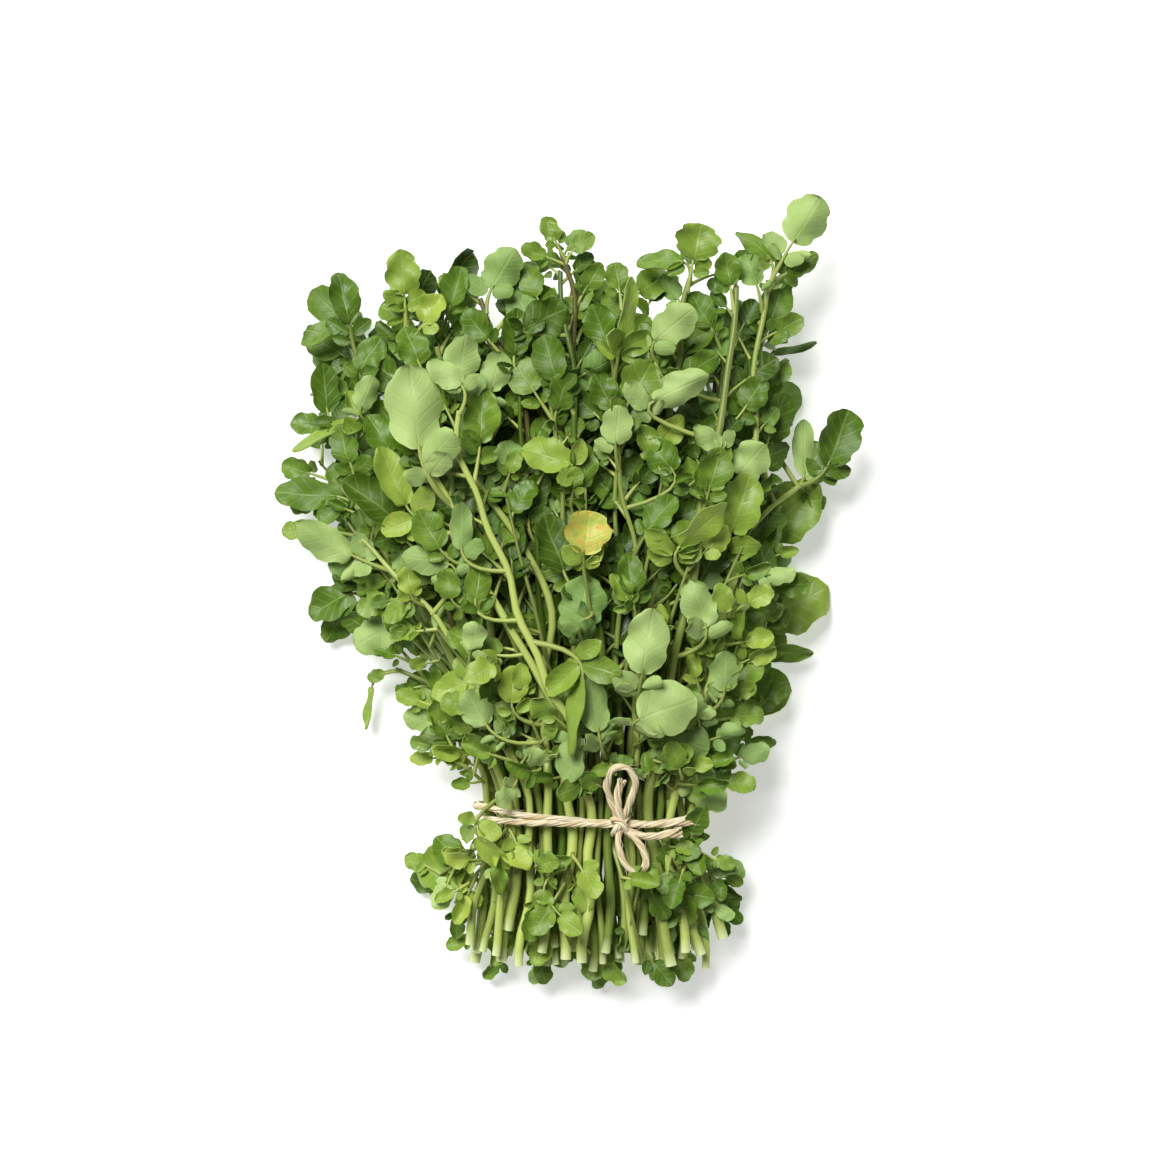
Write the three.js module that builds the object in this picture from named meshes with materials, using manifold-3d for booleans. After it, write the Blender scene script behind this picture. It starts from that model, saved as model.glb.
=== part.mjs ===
// A bunch of watercress as it is sold: cut shoots gathered side by side, tied once round with
// two turns of jute twine in a bow, and laid flat on a table.
// Millimetres. +Y runs from the cut ends to the leaves, +Z is up, and z = 0 is the table. The
// origin is the middle of the flat underside of the twine.
//
// Each shoot is one solid: a tapering stem with its leaves on it. The shoots on top of the bunch
// are placed one by one. The others lie in rows below, and grow their leaves wherever there is
// room between the neighbours. The small side leaflets of a leaf are left out of these solids.

import * as THREE from "three";
import { mergeVertices } from "three/addons/utils/BufferGeometryUtils.js";
import Module from "manifold-3d";

// ---- Driving dimensions -------------------------------------------------------------------

const STEM_RADIUS = 1.75; // at the cut end
const TIP_RADIUS = 0.9; // at the growing tip
const STEM_SIDES = 5;
const STEM_STEPS = 7;
const CLEARANCE = 0.3; // kept between any two shoots

const ROW_PITCH = 4.9; // height between rows of stems where they are tied
const LOWEST_ROW = 5; // height of the lowest row's stems there

const BLADE_THICKNESS = 0.6;
const PETIOLE_RADIUS = 0.7;
const PETIOLE_TIP_RADIUS = 0.25; // where it runs on inside the blade
const PETIOLE_SIDES = 3;
const PETIOLE_STEPS = 2;

const TWINE_RADIUS = 1.1;
const TWINE_SIDES = 6;
const TIE = { halfWidth: 34.2, bottom: 0.9, top: 28.6, squareness: 0.55 }; // middle line of a turn

const COLOURS = { stem: 0xb4c96a, leaf: 0x6d9638, twine: 0xddc99e };

// ---- The shoots on top --------------------------------------------------------------------
// route: points from the cut end to the growing tip, [x, y, z].
// leaves: [x, y, z, heading, length, width, pitch, roll] of each end leaflet. x, y, z is the
// middle of the blade, and heading is the way its tip points, in degrees from +X towards +Y.
// pitch lifts the tip, and roll turns the blade about its midrib: 180 shows the underside.

const TOP_SHOOTS = [
  {
    name: "far_left_low",
    route: [[-29, -41, 21], [-24, 0, 23.8], [-32, 27, 26], [-46, 48, 22], [-60, 60, 16], [-70, 66, 12]],
    leaves: [
      [-79, 65, 12, 205, 15, 11, -8, 15], [-77, 58, 6, 232, 12, 9, -5, -20],
      [-65, 55, 16, 210, 13, 12, -5, 190], [-44, 22, 20, 165, 7, 6.5, 5, 20],
      [-29, -10, 29, 312, 14, 7, -8, 25], [-27, -18, 28, 290, 9, 6, -5, -30],
    ],
  },
  {
    name: "left_fan",
    route: [[-21, -44, 22], [-18, 0, 24.6], [-27, 30, 30], [-42, 55, 34], [-58, 74, 30], [-71, 86, 24]],
    leaves: [
      [-80, 84, 23, 152, 19, 12, 0, 192], [-90, 87, 14, 182, 7, 6, -10, 10],
      [-54, 72, 36, 95, 8, 7, 5, 10], [-49, 78, 41, 172, 14, 9, 0, 185],
      [-41, 40, 34, 200, 14, 9, -5, 15], [-58, 63, 35, 215, 10, 7, -5, 30],
    ],
  },
  {
    name: "arching_left",
    route: [[-14, -40, 22], [-12, 0, 24.6], [-14, 26, 31], [-13, 46, 34], [-12, 62, 36],
      [-19, 82, 38], [-32, 98, 38], [-44, 114, 36], [-54, 134, 32], [-55, 154, 31]],
    leaves: [
      [-56, 164, 33, 95, 13.5, 10.5, 5, 5], [-47, 153, 34, 60, 10, 9, 0, -15],
      [-59, 152, 30, 150, 9, 8, -5, 10], [-34, 34, 33, 120, 12, 10, 0, 185],
      [-23, 41, 38, 85, 11, 9, 5, 10], [-20, 97, 41, 60, 11, 8, 0, -20],
    ],
  },
  {
    name: "great_leaf",
    route: [[-8, -42, 22], [-6, 0, 24.6], [-10, 32, 35.5], [-16, 46, 39.4], [-24, 57, 41],
      [-30, 69, 42], [-41, 93, 43], [-47, 106, 45]],
    leaves: [
      [-52, 123, 49, 97, 25, 18, -4, 184], [-59, 103, 39, 115, 19, 10, 0, 20],
      [-48, 87, 41, 120, 13, 10, 0, 10], [-42, 71, 43, 100, 9, 8, 5, -10],
      [-37, 54, 38, 150, 12, 9, 0, 20], [-14, -24, 29, 268, 7, 6.5, -5, 5],
    ],
  },
  {
    name: "long_bare_stem",
    route: [[-2, -43, 22], [0, 0, 24.6], [-6, 30, 39], [-13.5, 43, 43.8], [-19, 57, 45],
      [-24, 72, 46], [-31, 91, 47], [-38, 107, 47.5], [-39, 122, 48]],
    leaves: [
      [-43, 133, 48, 146, 12, 8, -8, 196], [-32, 121, 44, 86, 16.5, 12, 0, 4],
      [-38, 88, 44, 88, 14, 7, 0, 176], [-33, 72, 43, 80, 14, 8, 0, 14],
      [-6, 32, 46, 251, 24, 7, -4, 50], [-6, 18, 38, 268, 13, 8.5, -6, 190],
    ],
  },
  {
    name: "middle",
    route: [[5, -40, 22], [6, 0, 24.6], [4, 30, 33], [2, 60, 37], [-2, 90, 38.5], [-4, 115, 39],
      [-6, 140, 37], [-9, 164, 32]],
    leaves: [
      [-1, 86, 46, 82, 13, 14, 2, 8], [-2, 106, 43, 95, 13, 8, 0, 20],
      [-2, 66, 41, 80, 15, 14, 0, 186], [-13, 109, 45, 160, 15, 11, 0, 14],
      [-12, 138, 41, 110, 14, 11, 0, -12], [-13, 150, 38, 25, 14, 12, 0, 10],
      [1, 35, 42, 100, 16, 9, 0, 188], [-11, 83, 39, 110, 18, 13, 0, 20],
    ],
  },
  {
    name: "round_leaf",
    route: [[13, -43, 22], [12, 0, 24.6], [14, 30, 34], [14, 55, 38], [13, 80, 40], [10, 98, 42],
      [8, 109, 43.5]],
    leaves: [
      [8, 118, 46, 85, 11.5, 9.5, 0, 184], [17, 54, 48, 80, 19.5, 13.5, 0, 184],
      [15, 131, 43, 60, 13, 12.5, 0, 10], [21, 109, 41, 130, 12, 10, 0, -10],
      [12, 74, 43, 95, 12, 9, 0, 12], [21, 92, 43, 55, 13, 9, 0, -20],
    ],
  },
  {
    name: "right_middle",
    route: [[25, -44, 21], [18, 0, 24.6], [22, 30, 33], [28, 60, 36], [33, 90, 37.5], [38, 118, 36],
      [43, 142, 32], [43, 160, 29]],
    leaves: [
      [23, 34, 47, 20, 18, 16, 0, 184], [32, 65, 42, 110, 15, 10.5, 0, 186],
      [34, 88, 45, 38, 19, 9, 0, 36], [37, 105, 42, 75, 13, 11, 0, 8],
      [35, 114, 39, 150, 11, 7, 0, 200], [27, 129, 44, 25, 18, 11, 0, 188],
      [41, 165, 31, 100, 10, 8, 0, 10], [21, -26, 26, 300, 9, 7, -8, 10],
    ],
  },
  {
    name: "top_right_spray",
    route: [[29, -40, 21.6], [23.6, 0, 23.6], [32, 30, 29], [40, 60, 31], [46, 90, 31], [49.5, 122, 29],
      [50, 144, 27], [54, 162, 25]],
    leaves: [
      [65, 180, 27, 58, 16, 15, 4, 184], [49.5, 173, 25, 135, 13, 7, 0, 40],
      [64, 167, 23, 30, 11, 6.5, 0, 10], [48, 165, 29, 112, 10, 9, 0, 186],
      [56.5, 156, 21, 70, 17, 10, -4, 10], [40, 45, 37, 90, 12, 9, 0, 186],
      [35, 8, 25, 318, 14, 12, -8, 190], [29, -27, 23, 282, 10, 8, -10, 12],
    ],
  },
  {
    name: "drooping_left",
    route: [[-37, -38, 16.6], [-30, 0, 19.6], [-37, 24, 19], [-48, 40, 15], [-58, 45, 11]],
    leaves: [
      [-65, 43, 10, 195, 6, 4, -10, 10], [-67, 33, 6, 265, 13, 4, -4, 55],
      [-51, 18, 14, 182, 7, 4.5, -5, 15], [-45, -15, 15, 185, 16, 14, -6, 8],
      [-43, -9, 17, 130, 10, 9, 0, 20],
    ],
  },
  {
    name: "left_edge",
    route: [[-26, -43, 16.8], [-24, 0, 19.6], [-35, 36, 22.5], [-52, 66, 22.5], [-66, 88, 19], [-74, 102, 15]],
    leaves: [
      [-81, 115, 20, 215, 19, 7, 0, 60], [-86, 98, 15, 176, 19, 10, -3, 12],
      [-74, 113, 24, 110, 12, 9, 0, -20], [-70, 78, 12, 190, 12, 9, -8, 20],
    ],
  },
  {
    name: "upper_left",
    route: [[-17, -41, 16.8], [-18, 0, 19.6], [-25, 36, 25], [-38, 68, 27], [-52, 98, 25], [-64, 126, 21],
      [-73, 144, 17]],
    leaves: [
      [-74, 157, 20, 100, 16, 10, 0, 14], [-81, 147, 15, 205, 15, 7, -4, 30],
      [-80, 130, 17, 95, 15, 9, 0, 20], [-67, 128, 28, 70, 11, 8, 0, 188],
      [-66, 140, 24, 60, 12, 9, 0, -14], [-63, 116, 30, 120, 13, 10, 0, 14],
    ],
  },
  {
    name: "grey_leaves",
    route: [[-11, -44, 16.8], [-12, 0, 19.6], [-17, 40, 27], [-26, 75, 31], [-37, 108, 32], [-44, 136, 30],
      [-47, 154, 27]],
    leaves: [
      [-38, 138, 40, 82, 14, 11, 0, 184], [-28, 134, 38, 75, 12, 9, 0, 184],
      [-40, 160, 29, 75, 12, 10, 0, -12], [-53, 142, 34, 110, 12, 10, 0, 14],
    ],
  },
  {
    name: "purple_stem",
    route: [[-4, -40, 16.8], [-6, 0, 19.6], [-10, 40, 28], [-15, 80, 32], [-19, 120, 34], [-27, 143, 34],
      [-33, 156, 32]],
    leaves: [
      [-26, 165, 32, 60, 14, 12, 0, 186], [-22, 146, 37, 85, 14, 10, 0, 10],
      [-34, 148, 36, 130, 11, 9, 0, -12], [-16, 98, 37, 72, 14, 8, 0, 14],
      [-24, 108, 39, 110, 11, 9, 0, 188],
    ],
  },
  {
    name: "top_sprig",
    route: [[1, -46, 16.8], [0, 0, 19.6], [-1, 40, 28], [-4, 80, 32], [-8, 120, 33], [-4, 146, 32],
      [-8, 170, 30]],
    leaves: [
      [-12, 177, 31, 115, 8, 6, 0, 8], [-2, 173, 31, 40, 8, 6, 0, -10], [-17, 170, 30, 160, 8, 6, 0, 12],
      [1, 163, 30, 60, 9, 7, 0, 14], [-18, 162, 31, 110, 11, 8, 0, -12], [-8, 128, 39, 70, 12, 9, 0, 18],
    ],
  },
  {
    name: "folded_leaf",
    route: [[8, -42, 16.8], [6, 0, 19.6], [7, 40, 28], [8, 80, 32], [7, 118, 34], [8, 142, 34],
      [10, 156, 31]],
    leaves: [
      [8, 163, 31, 100, 8, 7.5, 0, 8], [12, 153, 41, 75, 18, 6.5, 0, 46],
      [3, 148, 37, 110, 13, 10, 0, -12], [4, 128, 40, 120, 12, 9, 0, 10],
      [7, -46, 9, 268, 8, 6, -6, 10],
    ],
  },
  {
    name: "bright_tip",
    route: [[16, -44, 16.8], [12, 0, 19.6], [15, 40, 28], [20, 80, 32], [24, 118, 33], [27, 146, 31],
      [30, 162, 30]],
    leaves: [
      [32, 173, 33, 78, 11, 14, 0, 6], [21, 168, 28, 175, 14, 7, 0, 30],
      [25, 148, 40, 40, 15, 11, 0, 186], [24, 116, 43, 40, 12, 8, 0, 10],
      [17, 143, 37, 110, 12, 9, 0, -14], [29, 76, 39, 60, 12, 9, 0, 14],
    ],
  },
  {
    name: "inner_right",
    route: [[22, -46, 16.8], [18, 0, 19.6], [23, 40, 26], [31, 80, 29], [38, 113, 28], [40, 138, 25],
      [37, 152, 24]],
    leaves: [
      [33, 136, 36, 30, 12, 8, 0, 14], [33, 153, 28, 120, 12, 9, 0, 12],
      [28, 24, 34, 340, 16, 13, -4, 186], [49, 128, 28, 60, 11, 9, 0, -16],
      [23, -11, 24, 290, 7, 6, -4, 10],
    ],
  },
  {
    name: "far_right_spray",
    route: [[33, -41, 16.8], [24, 0, 19.6], [33, 40, 24], [43, 75, 25], [53, 93, 22], [64, 101, 16]],
    leaves: [
      [75, 115, 15, 70, 18, 14, 0, 12], [64.5, 112, 15, 92, 17, 7, 0, 190],
      [48, 108, 35, 50, 12, 12, 0, 184], [56, 121, 22, 70, 15, 11, 0, 16],
      [62, 142, 10, 8, 14, 4.5, 0, 60], [52, 78, 25, 100, 14, 8, 0, 14],
      [30, -9, 20, 320, 8, 7, -4, 10],
    ],
  },
  {
    name: "right_edge",
    route: [[41, -36, 16.6], [30, 0, 19.6], [42, 32, 20], [49, 48, 19], [52, 60, 18], [53, 74, 17]],
    leaves: [
      [60, 50, 8, 358, 16, 6.5, -4, 30], [57, 69, 16, 30, 8, 6, 0, 20], [56, 61, 15, 10, 9, 8, -6, 12],
      [40, 24, 27, 30, 14, 11, -4, 12], [50, 41, 18, 60, 10, 8, 0, 20],
      [39, 15, 25, 60, 10, 9, 0, 188], [41, -27, 8, 0, 10, 8, -8, 10],
    ],
  },
];

// ---- The rows of shoots below ---------------------------------------------------------------

// One row: its stems' count and sideways pitch at the tie, how far it has fanned out and
// climbed at FAN_LENGTH, and the share of a stem where its leaves begin.
const ROWS = [
  { level: 2, count: 11, pitch: 6, spread: 2.0, shift: -9, climb: 11, firstLeaf: 0.4, seed: 60071113 },
  { level: 1, count: 11, pitch: 5.8, spread: 2.15, shift: -10, climb: 6, firstLeaf: 0.36, seed: 71920061 },
  { level: 0, count: 9, pitch: 5.2, spread: 2.5, shift: -11, climb: 0, firstLeaf: 0.32, seed: 90310027 },
];
const FAN_LENGTH = 150;
const FAN_POWER = 1.25;
const LEAVES_PER_SHOOT = 3;
const SAG = LOWEST_ROW - STEM_RADIUS - 0.2; // drop of the stems from the tie to the table
const SAG_LENGTH = 35; // how far from the tie they reach it

// How a leaf that has no room is moved, in turn: [lift, change of roll] for the top shoots, and
// [degrees round its stem, change of size] in the rows.
const TOP_TRIES = [[0, 0], [1.5, 0], [-1.5, 0], [3, 8], [-3, -8], [4.5, 0], [-4.5, 12]];
const ROW_TRIES = [[0, 1], [75, 1], [-75, 1], [150, 1], [-150, 1], [40, 0.85], [-40, 0.85],
  [110, 0.85], [-110, 0.85], [0, 0.65], [60, 0.65], [-60, 0.65], [120, 0.65], [-120, 0.65], [180, 0.65]];

const RADIANS = Math.PI / 180;

/** A repeatable stream of numbers from 0 to 1. */
function randomStream(seed) {
  let state = seed;
  return () => {
    state = (state * 16807) % 2147483647;
    return state / 2147483647;
  };
}

// ---- Solids -----------------------------------------------------------------------------

const wasm = await Module();
wasm.setup();

/** A closed three.js geometry as a solid that can be joined and cut. */
function solidOf(geometry) {
  const bare = geometry.clone();
  bare.deleteAttribute("normal");
  bare.deleteAttribute("uv");
  const merged = mergeVertices(bare, 1e-4);
  return new wasm.Manifold(
    new wasm.Mesh({
      numProp: 3,
      vertProperties: merged.attributes.position.array,
      triVerts: new Uint32Array(merged.index.array),
    }),
  );
}

/** A solid as a three.js geometry with flat faces. */
function geometryOf(solid) {
  const mesh = solid.getMesh();
  const geometry = new THREE.BufferGeometry();
  geometry.setAttribute("position", new THREE.BufferAttribute(mesh.vertProperties, mesh.numProp));
  geometry.setIndex(new THREE.BufferAttribute(mesh.triVerts, 1));
  const faceted = geometry.toNonIndexed();
  faceted.computeVertexNormals();
  return faceted;
}

/** A regular polygon as the section of a stem or cord. */
function roundSection(radius, sides) {
  const section = new THREE.Shape();
  for (let i = 0; i < sides; i++) {
    const angle = (2 * Math.PI * i) / sides;
    section[i ? "lineTo" : "moveTo"](radius * Math.cos(angle), radius * Math.sin(angle));
  }
  section.closePath();
  return section;
}

/** A tube along a curve whose radius runs evenly from startRadius to endRadius. */
function taperedTube(curve, startRadius, endRadius, sides, steps) {
  const tube = new THREE.ExtrudeGeometry(roundSection(startRadius, sides), {
    steps,
    extrudePath: curve,
    bevelEnabled: false,
  });
  const rings = curve.getSpacedPoints(steps);
  const place = tube.getAttribute("position");
  const point = new THREE.Vector3();
  for (let i = 0; i < place.count; i++) {
    point.fromBufferAttribute(place, i);
    const distances = rings.map((ring) => ring.distanceToSquared(point));
    const ring = distances.indexOf(Math.min(...distances));
    const radius = startRadius + ((endRadius - startRadius) * ring) / steps;
    point.sub(rings[ring]).multiplyScalar(radius / startRadius).add(rings[ring]);
    place.setXYZ(i, point.x, point.y, point.z);
  }
  return tube;
}

/** A leaflet's blade: a flat oval plate along +X, wider towards its tip, grown by margin. */
function bladeGeometry(length, width, margin) {
  const outline = [[0.24, 0.42], [0.74, 0.48]];
  const far = outline.map(([along, across]) => [along * length, across * width + margin]);
  const near = far.map(([along, across]) => [along, -across]).reverse();
  const shape = new THREE.Shape();
  shape.moveTo(-margin, 0);
  for (const [along, across] of [...near].reverse()) shape.lineTo(along, across);
  shape.lineTo(length + margin, 0);
  for (const [along, across] of [...far].reverse()) shape.lineTo(along, across);
  shape.closePath();
  const thickness = BLADE_THICKNESS + 2 * margin;
  const blade = new THREE.ExtrudeGeometry(shape, { depth: thickness, bevelEnabled: false });
  return blade.translate(0, 0, -thickness / 2);
}

/** How a blade stands: its middle, the way its tip points and its placing matrix. */
function bladeFrame(leaf) {
  const turn = new THREE.Matrix4()
    .makeRotationZ(leaf.heading * RADIANS)
    .multiply(new THREE.Matrix4().makeRotationY(-leaf.pitch * RADIANS))
    .multiply(new THREE.Matrix4().makeRotationX(leaf.roll * RADIANS));
  const direction = new THREE.Vector3(1, 0, 0).transformDirection(turn);
  const base = leaf.middle.clone().addScaledVector(direction, -leaf.length / 2);
  return { direction, base, matrix: turn.setPosition(base) };
}

/** Points along the middle of a stem's straight lengths, closely spaced. */
function spine(stem) {
  const joints = stem.getSpacedPoints(STEM_STEPS);
  return joints.slice(1).flatMap((end, i) =>
    [0.125, 0.375, 0.625, 0.875].map((share) => joints[i].clone().lerp(end, share)));
}

/** Where on a stem a leaf's stalk starts: nearest to a stalk's length behind the blade. */
function attachment(stem, leaf, frame) {
  const wanted = frame.base.clone().addScaledVector(frame.direction, -leaf.stalk);
  const points = spine(stem);
  const distances = points.map((point) => point.distanceTo(wanted));
  return points[distances.indexOf(Math.min(...distances))];
}

/** A leaf's stalk and blade as one solid, grown by margin. */
function leafSolid(stem, leaf, margin) {
  const frame = bladeFrame(leaf);
  const start = attachment(stem, leaf, frame);
  const reach = start.distanceTo(frame.base);
  const bend = frame.base.clone().addScaledVector(frame.direction, -0.45 * reach);
  const end = frame.base.clone().addScaledVector(frame.direction, Math.min(3, leaf.length / 3));
  const stalk = new THREE.QuadraticBezierCurve3(start, bend, end);
  const tube = solidOf(taperedTube(
    stalk, PETIOLE_RADIUS + margin, PETIOLE_TIP_RADIUS + margin, PETIOLE_SIDES, PETIOLE_STEPS,
  ));
  const blade = solidOf(bladeGeometry(leaf.length, leaf.width, margin).applyMatrix4(frame.matrix));
  return tube.add(blade);
}

// ---- The plan of every shoot ----------------------------------------------------------------

/** A shoot placed by hand, from its row in TOP_SHOOTS. */
function topShoot({ name, route, leaves }) {
  const stem = new THREE.CatmullRomCurve3(route.map((point) => new THREE.Vector3(...point)));
  const planned = leaves.map(([x, y, z, heading, length, width, pitch, roll]) =>
    TOP_TRIES.map(([lift, turn]) => ({
      middle: new THREE.Vector3(x, y, z + lift),
      heading,
      length,
      width,
      pitch,
      roll: roll + turn,
      stalk: 0.8 * length,
    })),
  );
  return { name, stem, leaves: planned };
}

/** The stem of a shoot in a row: fanned out and climbing by the same law as its neighbours. */
function rowStem(row, x, top, cut) {
  const level = LOWEST_ROW + ROW_PITCH * row.level;
  const points = [cut, 0, 0.25, 0.5, 0.75, 1].map((station) => {
    const y = station > 0 ? station * top : station;
    const share = Math.max(y, 0) / FAN_LENGTH;
    const fan = (x * (row.spread - 1) + row.shift) * share ** FAN_POWER;
    const flare = y < 0 ? 0.004 * x * -y : 0;
    const dome = 1 - 0.8 * ((x + fan) / 70) ** 2;
    const climb = row.climb * Math.min(1, 1.6 * share) * dome;
    const sags = y < 0 || row.level === 0;
    const sag = sags ? SAG * Math.min(1, Math.abs(y) / SAG_LENGTH) : 0;
    return new THREE.Vector3(x + fan + flare, y, level + climb - sag);
  });
  return new THREE.CatmullRomCurve3(points);
}

/** One leaf of a row's shoot, at a share of its stem and on the side given in degrees. */
function rowLeaf(stem, share, side, size, lean, spin) {
  const point = stem.getPointAt(share);
  const along = stem.getTangentAt(share);
  const across = new THREE.Vector3(along.y, -along.x, 0).normalize();
  const up = new THREE.Vector3().crossVectors(across, along);
  const out = across.multiplyScalar(Math.cos(side * RADIANS)).addScaledVector(up, Math.sin(side * RADIANS));
  const direction = along.multiplyScalar(Math.cos(lean * RADIANS))
    .addScaledVector(out, Math.sin(lean * RADIANS));
  const stalk = 0.85 * size;
  const middle = point.clone().addScaledVector(direction, stalk + size / 2);
  middle.z = Math.max(middle.z, 1.2);
  return {
    middle,
    heading: Math.atan2(direction.y, direction.x) / RADIANS,
    length: size,
    width: 0.8 * size,
    pitch: Math.asin(THREE.MathUtils.clamp(0.5 * direction.z, -0.5, 0.5)) / RADIANS,
    roll: spin,
    stalk,
  };
}

/** All the shoots of one row. */
function rowShoots(row) {
  const random = randomStream(row.seed);
  const shoots = [];
  for (let i = 0; i < row.count; i++) {
    const x = (i - (row.count - 1) / 2) * row.pitch;
    const top = 92 + 62 * random() - 0.25 * Math.abs(x);
    const stem = rowStem(row, x, top, -38 - 8 * random());
    const leaves = [];
    for (let k = 0; k < LEAVES_PER_SHOOT; k++) {
      const share = row.firstLeaf + ((1 - row.firstLeaf) * (k + 0.6 * random())) / LEAVES_PER_SHOOT;
      const side = 180 * (k % 2) + 60 * (random() - 0.5);
      const size = 16 + 8 * random();
      const lean = 30 + 25 * random();
      const spin = 50 * (random() - 0.5) + (random() < 0.3 ? 180 : 0);
      leaves.push(ROW_TRIES.map(([turn, scale]) =>
        rowLeaf(stem, Math.min(share, 0.98), side + turn, size * scale, lean, spin)));
    }
    shoots.push({ name: `row${row.level + 1}_shoot_${i + 1}`, stem, leaves });
  }
  return shoots;
}

// ---- Building the shoots ----------------------------------------------------------------------

/** True if two boxes, each {min, max} with three numbers a corner, meet. */
function boxesMeet(a, b) {
  return [0, 1, 2].every((axis) => a.min[axis] <= b.max[axis] && b.min[axis] <= a.max[axis]);
}

/** True if a solid shares space with any of the others, leaving out those at skip. */
function meetsAny(solid, others, skip) {
  const box = solid.boundingBox();
  return others.some(({ owner, body }) =>
    owner !== skip && boxesMeet(box, body.boundingBox()) && solid.intersect(body).volume() > 0);
}

/** A stem's solid, grown by margin. */
function stemSolid(stem, margin) {
  return solidOf(
    taperedTube(stem, STEM_RADIUS + margin, TIP_RADIUS + margin, STEM_SIDES, STEM_STEPS),
  );
}

/** Each shoot's stem, joined with the leaves that have room, each tried in its places in turn. */
function growShoots(plans, twine) {
  const taken = [{ owner: "twine", body: twine }];
  for (const plan of plans) taken.push({ owner: plan.name, body: stemSolid(plan.stem, 0) });
  const grown = new Map(plans.map((plan, i) => [plan.name, taken[i + 1].body]));
  for (const plan of plans) {
    for (const tries of plan.leaves) {
      const place = tries.find(
        (leaf) => !meetsAny(leafSolid(plan.stem, leaf, CLEARANCE), taken, plan.name),
      );
      if (!place) continue;
      const body = leafSolid(plan.stem, place, 0).trimByPlane([0, 0, 1], 0);
      taken.push({ owner: plan.name, body });
      grown.set(plan.name, grown.get(plan.name).add(body));
    }
  }
  return grown;
}

// ---- The twine ----------------------------------------------------------------------------------

/** A cord of twine along points, open at both ends. */
function cord(points, steps, radius = TWINE_RADIUS) {
  const curve = new THREE.CatmullRomCurve3(points.map((point) => new THREE.Vector3(...point)));
  return solidOf(taperedTube(curve, radius, radius, TWINE_SIDES, steps));
}

/** One turn round the stems: a rounded oblong that starts and ends under the knot. */
function turnOfTwine(knot, leftY, rightY) {
  const middle = (TIE.top + TIE.bottom) / 2;
  const halfHeight = (TIE.top - TIE.bottom) / 2;
  const points = [];
  const steps = 20;
  for (let i = 0; i <= steps; i++) {
    const angle = Math.PI / 2 - 0.28 - (2 * Math.PI * i) / steps;
    const squared = (value) => Math.sign(value) * Math.abs(value) ** TIE.squareness;
    const x = TIE.halfWidth * squared(Math.cos(angle));
    const height = middle + halfHeight * squared(Math.sin(angle));
    const side = i < steps / 2 ? rightY : leftY;
    const away = Math.min(1, Math.min(i, steps - i) / (0.2 * steps));
    points.push([x, knot.y + (side - knot.y) * away, height]);
  }
  return cord(points, 28);
}

/** The whole tie: two turns, the knot on top, two bow loops and two short ends. */
function twineSolid() {
  const knot = new THREE.Vector3(9, -1.2, TIE.top);
  const upperTurn = turnOfTwine(knot, 4, 2.6);
  const lowerTurn = turnOfTwine(knot, 0, 0);
  const lump = solidOf(new THREE.SphereGeometry(3.2, 8, 6).scale(1, 1.15, 0.8)
    .translate(knot.x, knot.y, knot.z + 0.6));
  const lowerLoop = cord([[9, -2, 30], [8.4, -7, 31], [10.2, -12.5, 31.6], [14, -15.4, 31.6],
    [16.6, -13, 31.4], [15.4, -8, 31.2], [10.5, -2.5, 30.6]], 11);
  const upperLoop = cord([[8.6, -0.5, 30], [6.6, 5, 32.2], [5, 11, 34.4], [7, 15.6, 36], [11, 16, 36.2],
    [13.4, 12, 35], [12, 6, 32.8], [9.6, 0, 30.6]], 11);
  const longEnd = cord([[10, -2, 30.4], [16, -4.6, 30.8], [22, -4.2, 30.4], [27.5, -3.4, 29.8]], 5);
  const shortEnd = cord([[10, -2, 31], [8.6, 3, 32.4], [8.2, 8, 33.6], [9.6, 12.5, 34.6]], 5);
  return [upperTurn, lowerTurn, lump, lowerLoop, upperLoop, longEnd, shortEnd]
    .reduce((whole, piece) => whole.add(piece))
    .trimByPlane([0, 0, 1], 0);
}

// ---- Assembly --------------------------------------------------------------------------------------

/** A named mesh of one finish. */
function mesh(name, solid, color, roughness) {
  const material = new THREE.MeshStandardMaterial({ color, roughness, metalness: 0 });
  const made = new THREE.Mesh(geometryOf(solid), material);
  made.name = name;
  return made;
}

const twine = twineSolid();
const plans = [...TOP_SHOOTS.map(topShoot), ...ROWS.flatMap(rowShoots)];
const bunch = new THREE.Group();
bunch.name = "watercress_bunch";
bunch.add(mesh("twine", twine, COLOURS.twine, 0.9));
for (const [name, solid] of growShoots(plans, twine)) {
  bunch.add(mesh(name, solid, COLOURS.leaf, 0.5));
}

export default bunch;
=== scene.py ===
"""A bunch of watercress lying on a pale table, tied round with natural twine.

Lengths in the tables and size fields are millimetres. +Y runs from the cut ends to the leaves and
+Z is up. Each shoot has a ribbed stem and compound leaves: a round end leaflet on a stalk, with
smaller leaflets in pairs along it. Meshes are built in metres, where the frame has the shoots.
"""

import logging
import math
from dataclasses import dataclass, field
from enum import Enum

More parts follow.
